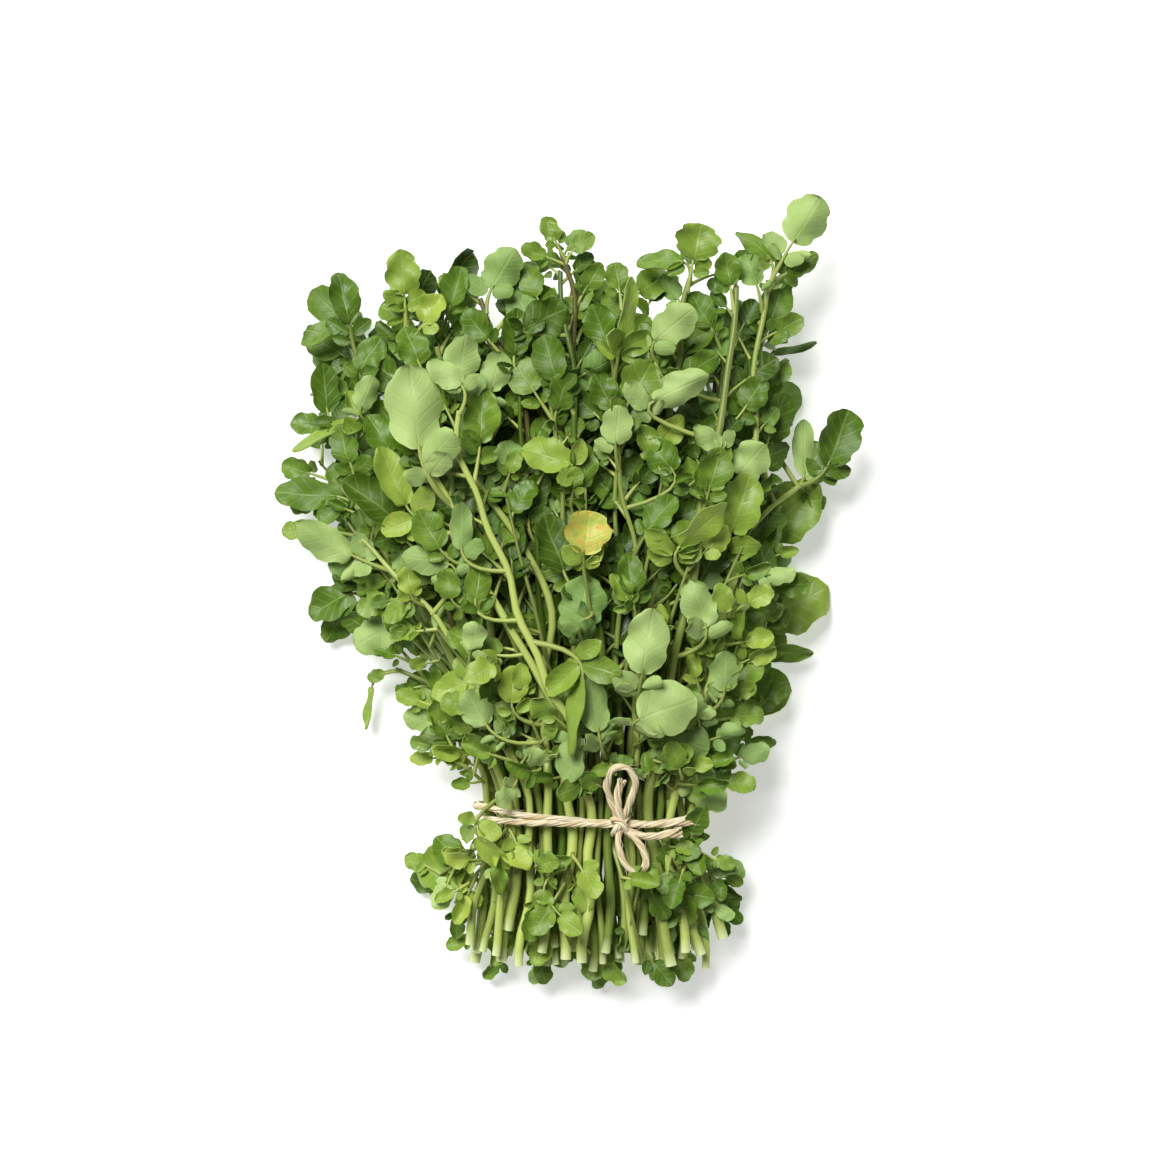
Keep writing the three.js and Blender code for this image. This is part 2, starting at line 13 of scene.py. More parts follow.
import bpy
import numpy as np
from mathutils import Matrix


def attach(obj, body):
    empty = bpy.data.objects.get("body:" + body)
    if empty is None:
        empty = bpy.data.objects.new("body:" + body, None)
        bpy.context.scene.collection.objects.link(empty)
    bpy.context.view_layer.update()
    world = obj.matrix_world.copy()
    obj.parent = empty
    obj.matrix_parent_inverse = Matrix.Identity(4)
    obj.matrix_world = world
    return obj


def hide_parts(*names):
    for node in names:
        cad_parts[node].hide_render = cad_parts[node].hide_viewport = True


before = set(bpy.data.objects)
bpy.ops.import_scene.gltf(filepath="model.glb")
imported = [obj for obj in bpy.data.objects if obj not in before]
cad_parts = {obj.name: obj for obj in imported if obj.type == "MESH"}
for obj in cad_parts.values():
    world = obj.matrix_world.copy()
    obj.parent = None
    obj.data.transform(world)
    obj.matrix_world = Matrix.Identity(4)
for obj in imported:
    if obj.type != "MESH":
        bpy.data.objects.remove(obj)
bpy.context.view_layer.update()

MM = 0.001
LOG = logging.getLogger("watercress")
Array = np.ndarray


class Slot(Enum):
    """The record's material slots."""

    LEAF = "leaf"
    STEM = "stem"
    TWINE = "twine"


class Grid(Enum):
    """How finely a leaflet is made: (points along, points across)."""

    FINE = (21, 13)
    MEDIUM = (13, 7)
    SMALL = (7, 5)
    TINY = (5, 5)


# ---- Stems and rows, as they are packed in the frame ---------------------------------------------

STEM_RADIUS = 1.75
TIP_RADIUS = 0.9
ROW_PITCH = 4.9
LOWEST_ROW = 5.0
FAN_LENGTH = 150.0
FAN_POWER = 1.25
SAG = LOWEST_ROW - STEM_RADIUS - 0.2
SAG_LENGTH = 35.0
LEAVES_PER_SHOOT = 3
BLADE_THICKNESS = 0.6
TOP_TRIES = ((0, 0), (1.5, 0), (-1.5, 0), (3, 8), (-3, -8), (4.5, 0), (-4.5, 12))
ROW_TRIES = (
    (0, 1), (75, 1), (-75, 1), (150, 1), (-150, 1), (40, 0.85), (-40, 0.85), (110, 0.85),
    (-110, 0.85), (0, 0.65), (60, 0.65), (-60, 0.65), (120, 0.65), (-120, 0.65), (180, 0.65),
)


@dataclass(frozen=True)
class TopShoot:
    """A shoot on top of the bunch.

    route: points (x, y, z) from the cut end to the growing tip.
    leaves: (x, y, z, heading, length, width, pitch, roll, tone) of each end leaflet. x, y, z is
    the middle of its blade, and tone runs from 0, dark, to 1, pale, with 2 for a yellowed one.
    """

    name: str
    route: tuple[tuple[float, ...], ...]
    leaves: tuple[tuple[float, ...], ...]


@dataclass(frozen=True)
class Row:
    """A row of shoots under the top ones, as it is where it is tied and FAN_LENGTH further on."""

    level: float
    count: int
    pitch: float
    spread: float
    shift: float
    climb: float
    first_leaf: float
    seed: int


@dataclass(frozen=True)
class StemLook:
    """How a stem looks: its thickness as a share of the full size, its tone and its blush."""

    thick: float
    tone: float
    blush: float


ROWS = (
    Row(2, 11, 6.0, 2.0, -9.0, 11.0, 0.40, 60071113),
    Row(1, 11, 5.8, 2.15, -10.0, 6.0, 0.36, 71920061),
    Row(0, 9, 5.2, 2.5, -11.0, 0.0, 0.32, 90310027),
)

# The slender shoots lie between the rows, so their levels are halves.
SLENDER_ROWS = (
    Row(-0.5, 10, 5.3, 2.5, -10.5, 1.0, 0.4, 11235813),
    Row(0.5, 10, 5.5, 2.3, -10.0, 3.0, 0.4, 33550337),
    Row(1.5, 10, 5.9, 2.1, -9.5, 8.0, 0.4, 13466917),
    Row(2.5, 10, 6.0, 1.95, -9.0, 12.5, 0.4, 20996011),
    Row(3.5, 8, 6.0, 1.8, -8.0, 16.0, 0.4, 24036583),
)

TOP_SHOOTS = (
    TopShoot(
        "far_left_low",
        route=(
            (-29, -41, 21), (-24, 0, 23.8), (-32, 27, 26), (-46, 48, 22), (-60, 60, 16), (-70, 66, 12),
        ),
        leaves=(
            (-79, 65, 12, 205, 15, 11, -8, 15, 0.35), (-77, 58, 6, 232, 12, 9, -5, -20, 0.45),
            (-65, 55, 16, 210, 13, 12, -5, 190, 0.75), (-44, 22, 20, 165, 7, 6.5, 5, 20, 0.9),
            (-29, -10, 29, 312, 14, 7, -8, 25, 0.85), (-27, -18, 28, 290, 9, 6, -5, -30, 0.6),
        ),
    ),
    TopShoot(
        "left_fan",
        route=(
            (-21, -44, 22), (-18, 0, 24.6), (-27, 30, 30), (-42, 55, 34), (-58, 74, 30), (-71, 86, 24),
        ),
        leaves=(
            (-80, 84, 23, 152, 19, 12, 0, 192, 0.8), (-90, 87, 14, 182, 7, 6, -10, 10, 0.7),
            (-54, 72, 36, 95, 8, 7, 5, 10, 0.9), (-49, 78, 41, 172, 14, 9, 0, 185, 0.6),
            (-41, 40, 34, 200, 14, 9, -5, 15, 0.85), (-58, 63, 35, 215, 10, 7, -5, 30, 0.6),
        ),
    ),
    TopShoot(
        "arching_left",
        route=(
            (-14, -40, 22), (-12, 0, 24.6), (-14, 26, 31), (-13, 46, 34), (-12, 62, 36), (-19, 82, 38),
            (-32, 98, 38), (-44, 114, 36), (-54, 134, 32), (-55, 154, 31),
        ),
        leaves=(
            (-56, 164, 33, 95, 13.5, 10.5, 5, 5, 0.75), (-47, 153, 34, 60, 10, 9, 0, -15, 0.95),
            (-59, 152, 30, 150, 9, 8, -5, 10, 0.55), (-34, 34, 33, 120, 12, 10, 0, 185, 0.6),
            (-23, 41, 38, 85, 11, 9, 5, 10, 0.9), (-20, 97, 41, 60, 11, 8, 0, -20, 0.35),
        ),
    ),
    TopShoot(
        "great_leaf",
        route=(
            (-8, -42, 22), (-6, 0, 24.6), (-10, 32, 35.5), (-16, 46, 39.4), (-24, 57, 41),
            (-30, 69, 42), (-41, 93, 43), (-47, 106, 45),
        ),
        leaves=(
            (-52, 123, 49, 97, 25, 18, -4, 184, 0.95), (-59, 103, 39, 115, 19, 10, 0, 20, 0.85),
            (-48, 87, 41, 120, 13, 10, 0, 10, 0.5), (-42, 71, 43, 100, 9, 8, 5, -10, 0.5),
            (-37, 54, 38, 150, 12, 9, 0, 20, 0.55), (-14, -24, 29, 268, 7, 6.5, -5, 5, 0.6),
        ),
    ),
    TopShoot(
        "long_bare_stem",
        route=(
            (-2, -43, 22), (0, 0, 24.6), (-6, 30, 39), (-13.5, 43, 43.8), (-19, 57, 45), (-24, 72, 46),
            (-31, 91, 47), (-38, 107, 47.5), (-39, 122, 48),
        ),
        leaves=(
            (-43, 133, 48, 146, 12, 8, -8, 196, 0.75), (-32, 121, 44, 86, 16.5, 12, 0, 4, 0.5),
            (-38, 88, 44, 88, 14, 7, 0, 176, 0.45), (-33, 72, 43, 80, 14, 8, 0, 14, 0.5),
            (-6, 32, 46, 251, 24, 7, -4, 50, 0.75), (-6, 18, 38, 268, 13, 8.5, -6, 190, 0.6),
        ),
    ),
    TopShoot(
        "middle",
        route=(
            (5, -40, 22), (6, 0, 24.6), (4, 30, 33), (2, 60, 37), (-2, 90, 38.5), (-4, 115, 39),
            (-6, 140, 37), (-9, 164, 32),
        ),
        leaves=(
            (-1, 86, 46, 82, 13, 14, 2, 8, 2), (-2, 106, 43, 95, 13, 8, 0, 20, 0.45),
            (-2, 66, 41, 80, 15, 14, 0, 186, 0.3), (-13, 109, 45, 160, 15, 11, 0, 14, 0.8),
            (-12, 138, 41, 110, 14, 11, 0, -12, 0.3), (-13, 150, 38, 25, 14, 12, 0, 10, 0.25),
            (1, 35, 42, 100, 16, 9, 0, 188, 0.55), (-11, 83, 39, 110, 18, 13, 0, 20, 0.2),
        ),
    ),
    TopShoot(
        "round_leaf",
        route=(
            (13, -43, 22), (12, 0, 24.6), (14, 30, 34), (14, 55, 38), (13, 80, 40), (10, 98, 42),
            (8, 109, 43.5),
        ),
        leaves=(
            (8, 118, 46, 85, 11.5, 9.5, 0, 184, 0.75), (17, 54, 48, 80, 19.5, 13.5, 0, 184, 0.9),
            (15, 131, 43, 60, 13, 12.5, 0, 10, 0.55), (21, 109, 41, 130, 12, 10, 0, -10, 0.4),
            (12, 74, 43, 95, 12, 9, 0, 12, 0.35), (21, 92, 43, 55, 13, 9, 0, -20, 0.4),
        ),
    ),
    TopShoot(
        "right_middle",
        route=(
            (25, -44, 21), (18, 0, 24.6), (22, 30, 33), (28, 60, 36), (33, 90, 37.5), (38, 118, 36),
            (43, 142, 32), (43, 160, 29),
        ),
        leaves=(
            (23, 34, 47, 20, 18, 16, 0, 184, 0.8), (32, 65, 42, 110, 15, 10.5, 0, 186, 0.7),
            (34, 88, 45, 38, 19, 9, 0, 36, 0.85), (37, 105, 42, 75, 13, 11, 0, 8, 0.5),
            (35, 114, 39, 150, 11, 7, 0, 200, 0.65), (27, 129, 44, 25, 18, 11, 0, 188, 0.8),
            (41, 165, 31, 100, 10, 8, 0, 10, 0.45), (21, -26, 26, 300, 9, 7, -8, 10, 0.35),
        ),
    ),
    TopShoot(
        "top_right_spray",
        route=(
            (29, -40, 21.6), (23.6, 0, 23.6), (32, 30, 29), (40, 60, 31), (46, 90, 31),
            (49.5, 122, 29), (50, 144, 27), (54, 162, 25),
        ),
        leaves=(
            (65, 180, 27, 58, 16, 15, 4, 184, 0.75), (49.5, 173, 25, 135, 13, 7, 0, 40, 0.5),
            (64, 167, 23, 30, 11, 6.5, 0, 10, 0.45), (48, 165, 29, 112, 10, 9, 0, 186, 0.4),
            (56.5, 156, 21, 70, 17, 10, -4, 10, 0.45), (40, 45, 37, 90, 12, 9, 0, 186, 0.5),
            (35, 8, 25, 318, 14, 12, -8, 190, 0.75), (29, -27, 23, 282, 10, 8, -10, 12, 0.5),
        ),
    ),
    TopShoot(
        "drooping_left",
        route=(
            (-37, -38, 16.6), (-30, 0, 19.6), (-37, 24, 19), (-48, 40, 15), (-58, 45, 11),
        ),
        leaves=(
            (-65, 43, 10, 195, 6, 4, -10, 10, 0.6), (-67, 33, 6, 265, 13, 4, -4, 55, 0.7),
            (-51, 18, 14, 182, 7, 4.5, -5, 15, 0.95), (-45, -15, 15, 185, 16, 14, -6, 8, 0.65),
            (-43, -9, 17, 130, 10, 9, 0, 20, 0.45),
        ),
    ),
    TopShoot(
        "left_edge",
        route=(
            (-26, -43, 16.8), (-24, 0, 19.6), (-35, 36, 22.5), (-52, 66, 22.5), (-66, 88, 19),
            (-74, 102, 15),
        ),
        leaves=(
            (-81, 115, 20, 215, 19, 7, 0, 60, 0.75), (-86, 98, 15, 176, 19, 10, -3, 12, 0.4),
            (-74, 113, 24, 110, 12, 9, 0, -20, 0.4), (-70, 78, 12, 190, 12, 9, -8, 20, 0.4),
        ),
    ),
    TopShoot(
        "upper_left",
        route=(
            (-17, -41, 16.8), (-18, 0, 19.6), (-25, 36, 25), (-38, 68, 27), (-52, 98, 25),
            (-64, 126, 21), (-73, 144, 17),
        ),
        leaves=(
            (-74, 157, 20, 100, 16, 10, 0, 14, 0.3), (-81, 147, 15, 205, 15, 7, -4, 30, 0.45),
            (-80, 130, 17, 95, 15, 9, 0, 20, 0.3), (-67, 128, 28, 70, 11, 8, 0, 188, 0.65),
            (-66, 140, 24, 60, 12, 9, 0, -14, 0.4), (-63, 116, 30, 120, 13, 10, 0, 14, 0.4),
        ),
    ),
    TopShoot(
        "grey_leaves",
        route=(
            (-11, -44, 16.8), (-12, 0, 19.6), (-17, 40, 27), (-26, 75, 31), (-37, 108, 32),
            (-44, 136, 30), (-47, 154, 27),
        ),
        leaves=(
            (-38, 138, 40, 82, 14, 11, 0, 184, 0.75), (-28, 134, 38, 75, 12, 9, 0, 184, 0.7),
            (-40, 160, 29, 75, 12, 10, 0, -12, 0.4), (-53, 142, 34, 110, 12, 10, 0, 14, 0.45),
        ),
    ),
    TopShoot(
        "purple_stem",
        route=(
            (-4, -40, 16.8), (-6, 0, 19.6), (-10, 40, 28), (-15, 80, 32), (-19, 120, 34),
            (-27, 143, 34), (-33, 156, 32),
        ),
        leaves=(
            (-26, 165, 32, 60, 14, 12, 0, 186, 0.5), (-22, 146, 37, 85, 14, 10, 0, 10, 0.3),
            (-34, 148, 36, 130, 11, 9, 0, -12, 0.35), (-16, 98, 37, 72, 14, 8, 0, 14, 0.25),
            (-24, 108, 39, 110, 11, 9, 0, 188, 0.45),
        ),
    ),
    TopShoot(
        "top_sprig",
        route=(
            (1, -46, 16.8), (0, 0, 19.6), (-1, 40, 28), (-4, 80, 32), (-8, 120, 33), (-4, 146, 32),
            (-8, 170, 30),
        ),
        leaves=(
            (-12, 177, 31, 115, 8, 6, 0, 8, 0.6), (-2, 173, 31, 40, 8, 6, 0, -10, 0.6),
            (-17, 170, 30, 160, 8, 6, 0, 12, 0.55), (1, 163, 30, 60, 9, 7, 0, 14, 0.5),
            (-18, 162, 31, 110, 11, 8, 0, -12, 0.5), (-8, 128, 39, 70, 12, 9, 0, 18, 0.35),
        ),
    ),
    TopShoot(
        "folded_leaf",
        route=(
            (8, -42, 16.8), (6, 0, 19.6), (7, 40, 28), (8, 80, 32), (7, 118, 34), (8, 142, 34),
            (10, 156, 31),
        ),
        leaves=(
            (8, 163, 31, 100, 8, 7.5, 0, 8, 0.5), (12, 153, 41, 75, 18, 6.5, 0, 46, 0.75),
            (3, 148, 37, 110, 13, 10, 0, -12, 0.35), (4, 128, 40, 120, 12, 9, 0, 10, 0.3),
            (7, -46, 9, 268, 8, 6, -6, 10, 0.4),
        ),
    ),
    TopShoot(
        "bright_tip",
        route=(
            (16, -44, 16.8), (12, 0, 19.6), (15, 40, 28), (20, 80, 32), (24, 118, 33), (27, 146, 31),
            (30, 162, 30),
        ),
        leaves=(
            (32, 173, 33, 78, 11, 14, 0, 6, 0.65), (21, 168, 28, 175, 14, 7, 0, 30, 0.5),
            (25, 148, 40, 40, 15, 11, 0, 186, 0.8), (24, 116, 43, 40, 12, 8, 0, 10, 0.85),
            (17, 143, 37, 110, 12, 9, 0, -14, 0.4), (29, 76, 39, 60, 12, 9, 0, 14, 0.35),
        ),
    ),
    TopShoot(
        "inner_right",
        route=(
            (22, -46, 16.8), (18, 0, 19.6), (23, 40, 26), (31, 80, 29), (38, 113, 28), (40, 138, 25),
            (37, 152, 24),
        ),
        leaves=(
            (33, 136, 36, 30, 12, 8, 0, 14, 0.4), (33, 153, 28, 120, 12, 9, 0, 12, 0.4),
            (28, 24, 34, 340, 16, 13, -4, 186, 0.45), (49, 128, 28, 60, 11, 9, 0, -16, 0.3),
            (23, -11, 24, 290, 7, 6, -4, 10, 0.4),
        ),
    ),
    TopShoot(
        "far_right_spray",
        route=(
            (33, -41, 16.8), (24, 0, 19.6), (33, 40, 24), (43, 75, 25), (53, 93, 22), (64, 101, 16),
        ),
        leaves=(
            (75, 115, 15, 70, 18, 14, 0, 12, 0.3), (64.5, 112, 15, 92, 17, 7, 0, 190, 0.8),
            (48, 108, 35, 50, 12, 12, 0, 184, 0.75), (56, 121, 22, 70, 15, 11, 0, 16, 0.25),
            (62, 142, 10, 8, 14, 4.5, 0, 60, 0.45), (52, 78, 25, 100, 14, 8, 0, 14, 0.25),
            (30, -9, 20, 320, 8, 7, -4, 10, 0.4),
        ),
    ),
    TopShoot(
        "right_edge",
        route=(
            (41, -36, 16.6), (30, 0, 19.6), (42, 32, 20), (49, 48, 19), (52, 60, 18), (53, 74, 17),
        ),
        leaves=(
            (60, 50, 8, 358, 16, 6.5, -4, 30, 0.5), (57, 69, 16, 30, 8, 6, 0, 20, 0.45),
            (56, 61, 15, 10, 9, 8, -6, 12, 0.5), (40, 24, 27, 30, 14, 11, -4, 12, 0.4),
            (50, 41, 18, 60, 10, 8, 0, 20, 0.45), (39, 15, 25, 60, 10, 9, 0, 188, 0.7),
            (41, -27, 8, 0, 10, 8, -8, 10, 0.4),
        ),
    ),
)

STEM_LOOKS = {
    "great_leaf": StemLook(0.95, 0.95, 0.0),
    "long_bare_stem": StemLook(0.95, 1.0, 0.0),
    "arching_left": StemLook(0.85, 0.75, 0.15),
    "left_fan": StemLook(0.75, 0.8, 0.0),
    "top_right_spray": StemLook(0.8, 0.7, 0.1),
    "purple_stem": StemLook(0.8, 0.2, 1.0),
    "round_leaf": StemLook(0.7, 0.6, 0.1),
    "far_right_spray": StemLook(0.85, 0.75, 0.0),
    "drooping_left": StemLook(0.75, 0.45, 0.3),
}

# Loose sprigs: start, end, rise of the middle, count of leaves and tone.
LOOSE_SPRIGS = (
    ((-26, -2, 17), (-45, -17, 16), 3, 4, 0.85), ((-24, -4, 22), (-37, -20, 18), 2, 4, 0.95),
    ((-28, -2, 12), (-41, -26, 8), 1, 5, 0.5), ((-22, 2, 24), (-31, -11, 26), 2, 3, 1.0),
    ((-27, 6, 22), (-45, 24, 20), 3, 6, 0.6), ((-26, 4, 18), (-42, 36, 14), 2, 6, 0.8),
    ((-24, 8, 25), (-36, 40, 27), 2, 6, 0.5), ((-18, 8, 27), (-28, 26, 32), 2, 5, 0.75),
    ((26, -2, 17), (38, -16, 14), 3, 5, 0.45), ((24, -4, 22), (34, -24, 17), 2, 5, 0.5),
    ((28, -2, 12), (40, -28, 6), 1, 6, 0.3), ((20, -4, 24), (29, -18, 23), 2, 4, 0.55),
    ((27, 6, 22), (44, 22, 22), 3, 6, 0.5), ((26, 4, 18), (48, 32, 13), 2, 6, 0.4),
    ((22, 8, 26), (36, 30, 29), 2, 6, 0.6), ((16, 8, 27), (22, 30, 33), 2, 4, 0.45),
    ((-16, -8, 26), (-12, -26, 25), 1, 3, 0.6), ((-4, -6, 27), (-8, -20, 26), 1, 2, 0.75),
    ((-20, -16, 8), (-24, -41, 6), 1, 4, 0.6), ((4, -22, 8), (7, -43, 6), 1, 4, 0.5),
    ((14, -18, 14), (22, -40, 10), 1, 4, 0.45), ((2, 8, 27), (-6, 28, 34), 2, 3, 0.5),
    ((8, 10, 28), (2, 34, 36), 2, 4, 0.55), ((-10, 12, 29), (-20, 36, 33), 2, 4, 0.7),
    ((-8, -20, 10), (-11, -42, 9), 1, 4, 0.7), ((-2, -18, 16), (-1, -40, 14), 1, 3, 0.55),
    ((10, -16, 20), (14, -38, 17), 1, 3, 0.4), ((-14, -14, 18), (-18, -38, 15), 1, 3, 0.5),
    ((22, -14, 18), (30, -36, 12), 1, 4, 0.35), ((-28, -14, 10), (-33, -36, 7), 1, 4, 0.65),
    ((-42, 40, 18), (-72, 82, 12), 3, 7, 0.5), ((-40, 30, 12), (-66, 62, 8), 3, 7, 0.45),
    ((-44, 50, 22), (-78, 96, 16), 3, 7, 0.6), ((-38, 36, 26), (-60, 72, 26), 3, 6, 0.55),
    ((30, 26, 24), (48, 56, 22), 3, 7, 0.75), ((34, 36, 28), (46, 74, 30), 3, 6, 0.7),
    ((28, 20, 28), (38, 46, 33), 2, 5, 0.85), ((36, 44, 20), (56, 84, 18), 3, 7, 0.6),
    ((18, 6, 28), (24, 26, 33), 1, 4, 0.5), ((22, 4, 26), (32, 20, 30), 1, 5, 0.55),
    ((-6, 8, 27), (-12, 26, 32), 1, 4, 0.45), ((-14, 8, 26), (-16, 30, 31), 1, 4, 0.5),
    ((12, 10, 28), (14, 32, 34), 1, 3, 0.35), ((2, 6, 27), (4, 24, 32), 1, 3, 0.4),
    ((-17, 30, 33), (-52, 82, 35), 4, 3, 0.7), ((-13, 32, 35), (-40, 90, 38), 4, 2, 0.6),
    ((-20, 26, 31), (-46, 58, 34), 3, 3, 0.75), ((-9, 34, 37), (-26, 100, 40), 4, 2, 0.5),
    ((10, 40, 37), (22, 104, 40), 3, 3, 0.6), ((16, 36, 35), (36, 96, 38), 4, 3, 0.7),
    ((4, 44, 39), (-6, 96, 42), 3, 2, 0.55), ((24, 34, 32), (50, 92, 31), 4, 3, 0.65),
    ((-48, 66, 20), (-82, 108, 12), 3, 6, 0.45), ((-40, 60, 12), (-74, 88, 8), 3, 6, 0.4),
    ((-50, 84, 16), (-78, 124, 10), 3, 6, 0.35), ((-30, 14, 20), (-46, 34, 20), 2, 5, 0.7),
    ((-20, 0, 27), (-6, -38, 23), 1, 1, 0.8), ((6, -4, 29), (16, -42, 23), 1, 1, 0.7),
    ((20, 0, 27), (10, -40, 21), 1, 1, 0.6), ((-2, 0, 28), (-16, -40, 21), 1, 1, 0.75),
)


class RandomStream:
    """A repeatable stream of numbers from 0 to 1."""

    def __init__(self, seed: int) -> None:
        """Starts the stream at seed."""
        self.state = seed

    def draw(self) -> float:
        """The next number."""
        self.state = (self.state * 16807) % 2147483647
        return self.state / 2147483647

    def between(self, low: float, high: float) -> float:
        """The next number, from low to high."""
        return low + (high - low) * self.draw()


# ---- Curves --------------------------------------------------------------------------------------


class Curve:
    """A smooth curve through points, a centripetal Catmull-Rom spline read by length."""

    DIVISIONS = 200

    def __init__(self, points: Array) -> None:
        """Sets the curve's points, (n, 3) in millimetres, and measures it."""
        ends = 2 * points[[0, -1]] - points[[1, -2]]
        self.points = np.vstack([ends[:1], points, ends[1:]])
        self.pieces = len(points) - 1
        self.stations = np.linspace(0, 1, self.DIVISIONS + 1)
        steps = np.linalg.norm(np.diff(self.at(self.stations), axis=0), axis=1)
        self.lengths = np.concatenate([[0], np.cumsum(steps)])
        self.length = float(self.lengths[-1])

    def at(self, stations: Array) -> Array:
        """Points at stations from 0 to 1, spaced as the curve's own points are.

        Between points p1 and p2 the curve is the cubic whose end slopes come from the neighbours,
        each gap weighted by the square root of its length.

        Args:
            stations: where to read the curve, (n,).

        Returns:
            The points, (n, 3).
        """
        along = np.clip(stations, 0, 1) * self.pieces
        first = np.minimum(along.astype(int), self.pieces - 1)
        w = (along - first)[:, None]
        p0, p1, p2, p3 = (self.points[first + k] for k in range(4))
        d0, d1, d2 = (
            np.maximum(np.linalg.norm(b - a, axis=1), 1e-8)[:, None] ** 0.5
            for a, b in ((p0, p1), (p1, p2), (p2, p3))
        )
        slope1 = ((p1 - p0) / d0 - (p2 - p0) / (d0 + d1) + (p2 - p1) / d1) * d1
        slope2 = ((p2 - p1) / d1 - (p3 - p1) / (d1 + d2) + (p3 - p2) / d2) * d1
        c2 = 3 * (p2 - p1) - 2 * slope1 - slope2
        c3 = 2 * (p1 - p2) + slope1 + slope2
        return p1 + slope1 * w + c2 * w**2 + c3 * w**3

    def by_length(self, shares: Array | float) -> Array:
        """Points at shares of the curve's length, (n, 3)."""
        wanted = np.atleast_1d(shares) * self.length
        return self.at(np.interp(wanted, self.lengths, self.stations))

    def heading(self, share: float) -> Array:
        """The unit direction of the curve at a share of its length."""
        return unit(self.by_length(min(share + 5e-4, 1))[0] - self.by_length(max(share - 5e-4, 0))[0])


def unit(vectors: Array) -> Array:
    """Vectors along the last axis, each scaled to length 1."""
    return vectors / np.maximum(np.linalg.norm(vectors, axis=-1, keepdims=True), 1e-12)


def turn_about(vector: Array, axis: Array, degrees: float) -> Array:
    """A vector turned about an axis.

    Args:
        vector: what turns.
        axis: the unit axis.
        degrees: how far, anticlockwise as seen from the axis's tip.

    Returns:
        The turned vector.
    """
    angle = math.radians(degrees)
    return (
        vector * math.cos(angle)
        + np.cross(axis, vector) * math.sin(angle)
        + axis * float(np.dot(axis, vector)) * (1 - math.cos(angle))
    )


# ---- Meshes --------------------------------------------------------------------------------------


@dataclass
class Surface:
    """Vertices with their faces, surface coordinates and marks, in millimetres.

    quads and caps hold vertex numbers. marks holds one number a vertex for each name, and rim is
    true on vertices whose joining edges stay sharp.
    """

    points: Array
    quads: Array
    caps: list[Array]
    uv: Array
    marks: dict[str, Array]
    rim: Array


class Piece:
    """Surfaces gathered into one mesh object."""

    def __init__(self, name: str, mark_names: tuple[str, ...]) -> None:
        """Starts an empty piece whose surfaces carry the named marks."""
        self.name = name
        self.mark_names = mark_names
        self.surfaces: list[Surface] = []

    def add(self, surface: Surface) -> None:
        """Adds a surface."""
        self.surfaces.append(surface)

    def make(
        self, material: bpy.types.Material, nodes: tuple[str, ...]
    ) -> bpy.types.Object:
        """Makes the object, dresses it and puts it in the frame.

        Args:
            material: the finish.
            nodes: the frame's nodes that the piece stands for.

        Returns:
            The new object.
        """
        starts = np.cumsum([0] + [len(s.points) for s in self.surfaces[:-1]])
        points = np.vstack([s.points for s in self.surfaces]) * MM
        quads = np.vstack([s.quads + k for s, k in zip(self.surfaces, starts)])
        caps = [cap + k for s, k in zip(self.surfaces, starts) for cap in s.caps]
        corners = np.concatenate([quads.ravel()] + caps).astype(np.int32)
        sizes = np.concatenate([np.full(len(quads), 4), [len(cap) for cap in caps]]).astype(np.int32)
        mesh = bpy.data.meshes.new(self.name)
        mesh.vertices.add(len(points))
        mesh.vertices.foreach_set("co", points.ravel().astype(np.float32))
        mesh.loops.add(len(corners))
        mesh.loops.foreach_set("vertex_index", corners)
        mesh.polygons.add(len(sizes))
        begins = np.concatenate([[0], np.cumsum(sizes)[:-1]]).astype(np.int32)
        mesh.polygons.foreach_set("loop_start", begins)
        mesh.update(calc_edges=True)
        uv = np.vstack([s.uv for s in self.surfaces])[corners]
        mesh.uv_layers.new(name="surface").data.foreach_set("uv", uv.ravel().astype(np.float32))
        for mark in self.mark_names:
            values = np.concatenate([s.marks[mark] for s in self.surfaces]).astype(np.float32)
            mesh.attributes.new(mark, "FLOAT", "POINT").data.foreach_set("value", values)
        self._sharpen_rims(mesh)
        mesh.materials.append(material)
        made = bpy.data.objects.new(self.name, mesh)
        bpy.context.scene.collection.objects.link(made)
        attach(made, "root")
        if nodes:
            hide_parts(*nodes)
        LOG.info("%s: %d faces", self.name, len(sizes))
        return made

    def _sharpen_rims(self, mesh: bpy.types.Mesh) -> None:
        """Smooths the mesh, but for the edges that join two rim vertices.

        Args:
            mesh: the piece's mesh.
        """
        mesh.polygons.foreach_set("use_smooth", np.ones(len(mesh.polygons), dtype=bool))
        rim = np.concatenate([s.rim for s in self.surfaces])
        ends = np.empty(2 * len(mesh.edges), dtype=np.int32)
        mesh.edges.foreach_get("vertices", ends)
        sharp = rim[ends[0::2]] & rim[ends[1::2]]
        mesh.attributes.new("sharp_edge", "BOOLEAN", "EDGE").data.foreach_set("value", sharp)


def grid_quads(rows: int, columns: int, closed: bool) -> Array:
    """The quads of a grid of vertices numbered row by row, its columns joined up if closed."""
    row, column = np.meshgrid(
        np.arange(rows - 1), np.arange(columns if closed else columns - 1), indexing="ij"
    )
    along = (column + 1) % columns
    corners = (row * columns + column, row * columns + along)
    above = ((row + 1) * columns + along, (row + 1) * columns + column)
    return np.stack([*corners, *above], axis=-1).reshape(-1, 4)


